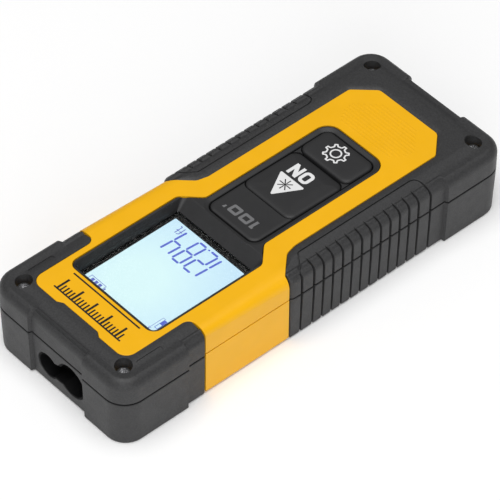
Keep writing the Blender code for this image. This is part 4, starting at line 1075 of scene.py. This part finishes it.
def segment_bars(digit, left, right):
    """The lit bars of one seven segment digit."""
    low, high = DIGIT_LOW + STROKE / 2, DIGIT_HIGH - STROKE / 2
    middle = (low + high) / 2
    west, east = left + STROKE / 2, right - STROKE / 2
    gap = 0.38
    ends = {
        "a": ((west + gap, high), (east - gap, high)),
        "d": ((west + gap, low), (east - gap, low)),
        "g": ((west + gap, middle), (east - gap, middle)),
        "b": ((east, high - gap), (east, middle + gap)),
        "c": ((east, middle - gap), (east, low + gap)),
        "f": ((west, high - gap), (west, middle + gap)),
        "e": ((west, middle - gap), (west, low + gap)),
    }
    return [pointed_bar(*ends[letter]) for letter in SEGMENTS[digit]]


def pointed_bar(start, end):
    """A bar whose ends come to a blunt point."""
    start, end = Vector(start), Vector(end)
    along = (end - start).normalized()
    across = Vector((-along.y, along.x)) * STROKE / 2
    tip = along * STROKE * 0.45
    return [start - across, end - across, end + tip, end + across, start + across, start - tip]


def lcd_look():
    """A lit display: paler in the middle, bluer towards its corners."""
    look = Look("lcd_lit", (0.02, 0.02, 0.02), 0.25)
    reach = look.node("ShaderNodeVectorMath", {"operation": "LENGTH"})
    look.feed(reach.inputs[0], look.mapped((45, 40, 0), (-0.003 * 45, -0.031 * 40, 0)))
    share = look.node("ShaderNodeMapRange", Value=reach.outputs["Value"], From_Min=0.25, From_Max=1.1)
    colour = look.mixed(share.outputs["Result"], (0.74, 0.985, 1.0), (0.57, 0.80, 1.0))
    look.set(Emission_Color=colour, Emission_Strength=0.98)
    look.bump(look.noise(0.2), 0.001)
    return look.material


def lit_ink(name, colour):
    """Ink that stays bright over the display's light."""
    look = Look(name, (0.02, 0.02, 0.05), 0.3)
    tint = look.mixed(look.scaled(look.noise(1.0)), colour, tuple(channel * 0.9 for channel in colour))
    look.set(Emission_Color=tint, Emission_Strength=0.95)
    return look.material


def make_display():
    top = LCD_HIGH.z
    panel_corners = rectangle(LCD_HIGH.x, LCD_HIGH.y, LCD_LOW.y, 0.4)
    piece(prism("lcd_screen", rounded(panel_corners), LCD_LOW.z, top), lcd_look(), "lcd_glass", "lcd_panel")
    # A black border round the lit area under the window. It is partly a printed mask and partly painted
    # shade for the shadowed gap between the display and its recess wall.
    border = rectangle(DISPLAY_HALF - 0.02, DISPLAY_FRONT - 0.02, DISPLAY_REAR + 0.02, 0.48)
    lit = rectangle(11.38, LCD_HIGH.y - 0.1, 12.35, 0.3)
    mask = flat_shape("lcd_border_painted_shade", [rounded(border), rounded(lit)], top + 0.02, top + 0.22)
    piece(mask, PRINT_BLACK, "dark_plastic")

    ink = lit_ink("segment_ink", (0.11, 0.16, 0.67))
    places = (("1", -7.95, -4.9), ("2", -4.15, -1.1), ("8", -0.35, 2.65), ("4", 3.55, 6.6))
    shapes = []
    for digit, left, right in places:
        shapes += [[slanted(shape, DIGIT_LOW, LEAN)] for shape in segment_bars(digit, left, right)]
    shapes.append([disc(-0.85, 13.35, 0.24, 16)])
    marks("figures", shapes, top, ink, "lcd_glass")

    low, high, left, right = 37.2, 38.75, 5.6, 10.3
    stroke_sets = {
        # The f and the t of the unit.
        0.22: [
            ((7.35, 13.0), (7.35, 15.0)), ((7.3, 15.0), (7.85, 15.4)), ((7.0, 14.4), (7.75, 14.4)),
            ((8.3, 13.2), (8.3, 15.4)), ((8.0, 14.4), (8.7, 14.4)), ((8.25, 13.15), (8.75, 13.0)),
        ],
        # The case of the battery sign, its tip and its bars.
        0.13: [
            ((left, low), (right, low)), ((left, high), (right, high)),
            ((left, low), (left, high)), ((right, low), (right, high)),
        ],
        0.35: [((left - 0.35, 37.7), (left - 0.35, 38.3))],
        0.8: [((x, low + 0.35), (x, high - 0.35)) for x in (6.8, 8.0, 9.2)],
        # The arrow that measures from the device's front.
        0.09: [
            ((-9.6, 34.0), (-9.6, 38.4)), ((-9.6, 34.0), (-10.4, 34.0)),
            ((-9.6, 38.4), (-9.9, 37.7)), ((-9.6, 38.4), (-9.3, 37.7)),
        ],
    }
    icons = [[bar(*ends, width)] for width, strokes in stroke_sets.items() for ends in strokes]
    marks("display_icons", icons, top, lit_ink("icon_ink", (0.16, 0.19, 0.6)), "lcd_glass")
    body = ring_shape(0.5, 1.5, -10.7, 35.7, 0.1, 0.12)
    marks("device_icon", [body, [bar((-10.7, 34.3), (-10.7, 35.7), 0.8)]], top, ink, "lcd_glass")


# ---- screws, optics and tail


def make_screws():
    star = []
    for k in range(12):
        angle = math.pi * k / 6
        radius, softness = (1.08, 0.16) if k % 2 == 0 else (0.72, 0.2)
        star.append((radius * math.cos(angle), radius * math.sin(angle), softness))
    for x_name, x in (("left", -SCREW_X), ("right", SCREW_X)):
        for y_name, y in (("front", SCREW_Y), ("rear", -SCREW_Y)):
            node = f"housing_screw_{y_name}_{x_name}"
            low, high = box_mm(node)
            top = high.z
            head = high.x - x
            profile = [(0, top), (head - 0.55, top), (head - 0.2, top - 0.12), (head, top - 0.42)]
            profile += [(head, top - 1.0), (0.95, top - 1.0), (0.95, low.z + 0.6), (0.0, low.z)]
            screw = turned(f"screw_{y_name}_{x_name}", profile, 32)
            cut(screw, prism(f"star_{node}", rounded(star, 3), top - 0.75, top + 1))
            settle(screw)
            screw.data.transform(Matrix.Translation((x * MM, y * MM, 0)))
            piece(screw, SCREW_STEEL, "dark_screw_steel", node)


def make_tail_ribs():
    """Fine shallow ribs across the tail, in a patch with six sides."""
    pitch = 0.92
    first, last = -33.6, -44.0
    count = int((first - last) / pitch) + 1
    section = ((-0.3, -0.2), (-0.22, 0.01), (-0.1, 0.035), (0.1, 0.035), (0.22, 0.01), (0.3, -0.2))
    ribs = []
    for k in range(count):
        y = first - pitch * k
        share = k / (count - 1)
        half = 10.2 - 4.6 * max(share - 0.55, 0) / 0.45 - 2.2 * max(0.3 - share, 0) / 0.3
        rings = []
        for x, lift in ((-half, 0.0), (-half + 0.35, 1.0), (half - 0.35, 1.0), (half, 0.0)):
            raised = [(across, rise if rise < 0 else rise * lift) for across, rise in section]
            rings.append([(x, y + across, SHELL_TOP + rise) for across, rise in raised])
        ribs.append(rings)
    piece(loft("tail_ribs", *ribs), YELLOW, "housing_yellow")


# ---- optics, cells, door and inner pieces


def pointed_forward(made, x, y, z, turn=-1):
    """Lays a turned piece along +Y, or along -Y with turn 1, and puts it in place."""
    made.data.transform(Matrix.Rotation(turn * math.pi / 2, 4, "X"))
    made.data.transform(Matrix.Translation((x * MM, y * MM, z * MM)))
    return made


def aperture_prism(name, spread, rear, front):
    """The outline of the optics opening, grown by a spread, as one upright solid along y."""
    made = front_prism(name, disc(RECEIVER_X, RECEIVER_Z, RECEIVER_APERTURE + spread), rear, front)
    small = disc(LASER_X, LASER_Z, LASER_APERTURE + spread)
    neck = rounded(moved([(*point, 0) for point in NECK], -spread))
    for part, outline in (("small", small), ("neck", neck)):
        join(made, front_prism(f"{name}_{part}", outline, rear, front))
    return made


def make_optics():
    low, high = box_mm("optical_frame")
    block_front = 51.6
    outline = rounded(corners_between(low.x, high.x, low.z, high.z, 0.8))
    block = front_prism("lens_block", outline, low.y, block_front)
    nose = aperture_prism("nose", -0.02, block_front - 1, high.y)
    cut(nose, aperture_prism("nose_way", -0.35, block_front, high.y + 2))
    join(block, nose)
    bores = [
        ("receiver_bore", disc(RECEIVER_X, RECEIVER_Z, 3.9), 34.5, 60),
        ("light_bore", disc(RECEIVER_X, RECEIVER_Z, 2.2), 20, 40),
        ("laser_bore", disc(LASER_X, LASER_Z, 2.4), 20, 60),
    ]
    for screw in ("optics_screw_1", "optics_screw_2"):
        middle = sum(box_mm(screw), Vector()) / 2
        bores.append((f"{screw}_hole", disc(middle.x, middle.z, 0.85), 20, 33))
    cut(block, *[front_prism(*bore) for bore in bores])
    # The holder's near-zero colour paints the shade inside the aperture's bore.
    piece(block, OPTICS_BLACK_PAINTED_SHADE, "optics_black", "optical_frame")
    for name, x, z in (("receiver_lens", RECEIVER_X, RECEIVER_Z), ("collimator_lens", LASER_X, LASER_Z)):
        low, high = box_mm(name)
        radius = (high.x - low.x) / 2
        rim = high.y - (0.45 if radius < 3 else 0.95)
        crown = high.y - rim
        dome = [(radius * k / 10, crown * (1 - (k / 10) ** 2)) for k in range(11)]
        lens = turned(f"{name}_glass", dome + [(radius, low.y - rim), (0.0, low.y - rim)])
        piece(pointed_forward(lens, x, rim, z), LENS_GLASS, "lens_glass", name)


def make_cells():
    """Two cells, side by side and head to tail: a sleeve, a cap with its nub, and a flat end."""
    for name, turn in (("battery_left", -1), ("battery_right", 1)):
        low, high = box_mm(name)
        half = (high.y - low.y) / 2
        radius = (high.x - low.x) / 2
        shoulder = half - 0.8
        place = (*((low + high) / 2), turn)
        upper = ((1.1, 0.45), (0.9, 0.15), (0.45, 0.02), (0.12, 0.2), (0.0, 0.6))
        lower = ((0.0, 0.6), (0.12, 0.2), (0.5, 0.02), (0.9, 0.15), (1.0, 0.4))
        sides = [(radius - inwards, shoulder - down) for inwards, down in upper]
        sides += [(radius - inwards, up - half) for inwards, up in lower]
        sleeve_part = turned(f"{name}_sleeve", [(0.0, shoulder - 0.5), *sides, (0.0, 0.4 - half)])
        piece(pointed_forward(sleeve_part, *place), CELL_SLEEVE, "cell_jacket", name)
        nub = [(0.0, half), (1.6, half), (1.9, half - 0.25), (1.9, shoulder - 0.1), (3.9, shoulder - 0.15)]
        cap = turned(f"{name}_positive_cap", nub + [(3.9, shoulder - 0.55), (0.0, shoulder - 0.55)])
        piece(pointed_forward(cap, *place), BRIGHT_STEEL, "steel")
        base = ((0.0, 0.5), (4.0, 0.5), (4.0, 0.12), (3.2, 0.05), (0.0, 0.03))
        end = turned(f"{name}_negative_end", [(distance, up - half) for distance, up in base])
        piece(pointed_forward(end, *place), BRIGHT_STEEL, "steel")


def make_springs():
    """Conical wire springs, wide at their plates."""
    turns, steps = 3.5, 36
    wire = 0.2
    count = int(turns * steps)
    for name, direction in (("negative_spring", -1), ("bridge_spring", 1)):
        low, high = box_mm(name)
        middle = (low + high) / 2
        wide = (high.z - low.z) / 2 - wire
        narrow = wide - 1.3
        start = high.y - wire if direction < 0 else low.y + wire
        length = high.y - low.y - 2 * wire
        curve = bpy.data.curves.new(name, "CURVE")
        curve.dimensions = "3D"
        curve.bevel_depth = wire * MM
        curve.bevel_resolution = 3
        curve.use_fill_caps = True
        spline = curve.splines.new("POLY")
        spline.points.add(count)
        for index, point in enumerate(spline.points):
            share = index / count
            angle = math.tau * turns * share
            radius = wide + (narrow - wide) * share
            spot = Vector((middle.x + radius * math.cos(angle), 0, middle.z + radius * math.sin(angle)))
            spot.y = start + direction * length * share
            point.co = (*(spot * MM), 1.0)
        coil = linked(f"{name}_coil", curve)
        mesh = finished_mesh(coil)
        bpy.data.objects.remove(coil, do_unlink=True)
        piece(linked(f"{name}_coil", mesh), BRIGHT_STEEL, "steel", name)


def make_door():
    """The battery door: soft edges, a ribbed thumb recess, an arrow and a catch at the rear."""
    low, high = DOOR_LOW, DOOR_HIGH
    x, y, z = high.x, low.y, low.z
    top = high.z - 0.25
    edge = ((0.32, z), (0.1, z + 0.1), (0.0, z + 0.32), (0.0, top))
    door = stepped("door_panel", rectangle(x, high.y, y, 0.8), edge)
    dish = ((0.75, z + 0.5), (0.45, z + 0.42), (0.12, z + 0.12), (-0.2, z - 0.2))
    thumb = stepped("thumb_recess", rectangle(6.2, y + 9.6, y + 2.6, 2.4), dish)
    arrow = [(0, y + 15.6, 0.2), (2.4, y + 12.4, 0.2), (-2.4, y + 12.4, 0.2)]
    join(door, prism("door_catch", rounded(rectangle(3.5, y + 1.2, y + 0.3, 0.2)), top - 0.3, high.z))
    cut(door, thumb, prism("door_arrow", rounded(arrow), z - 1, z + 0.22))
    ribs = []
    for k in range(5):
        middle = y + 3.7 + 1.2 * k
        half = 4.4 if k in (0, 4) else 5.2
        corners = rectangle(half, middle + 0.25, middle - 0.25, 0.2)
        heights = ((0.0, z + 0.6), (0.0, z + 0.25), (0.14, z + 0.12))
        ribs.append([level(rounded(moved(corners, inwards), 3), height) for inwards, height in heights])
    join(door, loft("thumb_ribs", *ribs))
    piece(door, DARK_PLASTIC, "dark_plastic", "battery_door", body="battery_door")


def make_domes():
    """Dished snap discs with a dimple in the middle."""
    for name in ("on_dome_switch", "settings_dome_switch"):
        low, high = box_mm(name)
        middle = (low + high) / 2
        radius = (high.x - low.x) / 2
        rise = high.z - low.z
        profile = [(radius * k / 12, rise * (1 - (k / 12) ** 2.2)) for k in range(2, 13)]
        dome = turned(f"{name}_disc", [(0.0, rise * 0.8), *profile, (radius - 0.15, 0.0), (0.0, rise * 0.3)])
        dome.data.transform(Matrix.Translation((middle.x * MM, middle.y * MM, low.z * MM)))
        piece(dome, BRIGHT_STEEL, "steel", name)


def make_window():
    plate = rectangle(DISPLAY_HALF + 0.1, DISPLAY_FRONT + 0.1, DISPLAY_REAR - 0.1, 0.6)
    window = stepped("window_pane", plate, ((0.0, WINDOW_LOW.z), (0.0, WINDOW_HIGH.z)))
    piece(window, WINDOW_CLEAR, "window_clear", "display_window")


CAD_LOOKS = (
    (YELLOW, ["bottom_housing"]),
    (BACKLIGHT_WHITE, ["lcd_backlight"]),
    (LAYERED_RUBBER, ["lcd_connector"]),
    (BOARD_GREEN, ["main_pcb", "sensor_board"]),
    (CHIP_BLACK, ["processor_chip", "receiver_sensor"]),
    (BUZZER_BLACK, ["buzzer"]),
    (BRASS, ["laser_diode"]),
    (BRIGHT_STEEL, [*(f"pcb_screw_{k}" for k in range(1, 5)), "optics_screw_1", "optics_screw_2"]),
    (NICKEL, ["positive_contact", "negative_contact", "bridge_contact"]),
    (LABEL_FILM, ["rating_label"]),
)


def dress_frame():
    """Gives every CAD piece that stays its finished material."""
    for look, nodes in CAD_LOOKS:
        for node in nodes:
            for material_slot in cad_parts[node].material_slots:
                material_slot.material = look


make_rubber()
make_housing()
make_bezel()
make_keypad()
range_marks()
on_marks()
settings_marks()
ruler_marks()
make_display()
make_screws()
make_tail_ribs()
make_optics()
make_cells()
make_springs()
make_door()
make_domes()
make_window()
dress_frame()


# ---- camera, floor and light

CAMERA_AZIMUTH = 227.98
CAMERA_ELEVATION = 45.67
CAMERA_ROLL = 0.474
CAMERA_DISTANCE = 888.1
CAMERA_TARGET = Vector((2.51, -1.64, 3.6))
CAMERA_LENS = 288.06


def make_camera():
    data = bpy.data.cameras.new("camera")
    data.lens = CAMERA_LENS
    data.sensor_width = 36.0
    data.clip_start = 0.05
    data.clip_end = 20.0
    camera = linked("camera", data)
    azimuth, elevation = math.radians(CAMERA_AZIMUTH), math.radians(CAMERA_ELEVATION)
    flat = math.cos(elevation)
    back = Vector((math.sin(azimuth) * flat, -math.cos(azimuth) * flat, math.sin(elevation)))
    camera.location = (CAMERA_TARGET + back * CAMERA_DISTANCE) * MM
    camera.rotation_mode = "QUATERNION"
    level_view = (-back).to_track_quat("-Z", "Y")
    camera.rotation_quaternion = level_view @ Quaternion((0, 0, 1), math.radians(CAMERA_ROLL))
    bpy.context.scene.camera = camera


def area_light(name, spot, size, power):
    """A round light aimed at the middle of the object."""
    data = bpy.data.lights.new(name, "AREA")
    data.shape = "DISK"
    data.size = size
    data.energy = power
    light = linked(name, data)
    light.location = spot
    light.rotation_mode = "QUATERNION"
    light.rotation_quaternion = (-Vector(spot)).to_track_quat("-Z", "Y")


def make_stage():
    bpy.context.scene.view_settings.view_transform = "Standard"
    world = bpy.data.worlds.new("studio")
    world.use_nodes = True
    background = world.node_tree.nodes["Background"]
    background.inputs["Color"].default_value = (1, 1, 1, 1)
    background.inputs["Strength"].default_value = 0.2
    bpy.context.scene.world = world
    floor = box("floor", (-3000, -3000, -20), (3000, 3000, BODY_LOW.z - 0.01))
    look = Look("pale_floor", (0.97, 0.97, 0.97), 0.6)
    look.set(Roughness=look.scaled(look.noise(60.0), 0.55, 0.65))
    look.set(Emission_Color=(1, 1, 1, 1), Emission_Strength=0.05)
    floor.data.materials.append(look.material)
    area_light("overhead", (-0.25, 0.3, 2.0), 1.9, 37.0)
    area_light("fill", (-1.38, 1.24, 0.75), 1.2, 10.5)


make_camera()
make_stage()

for helper in HELPERS:
    bpy.data.objects.remove(helper, do_unlink=True)
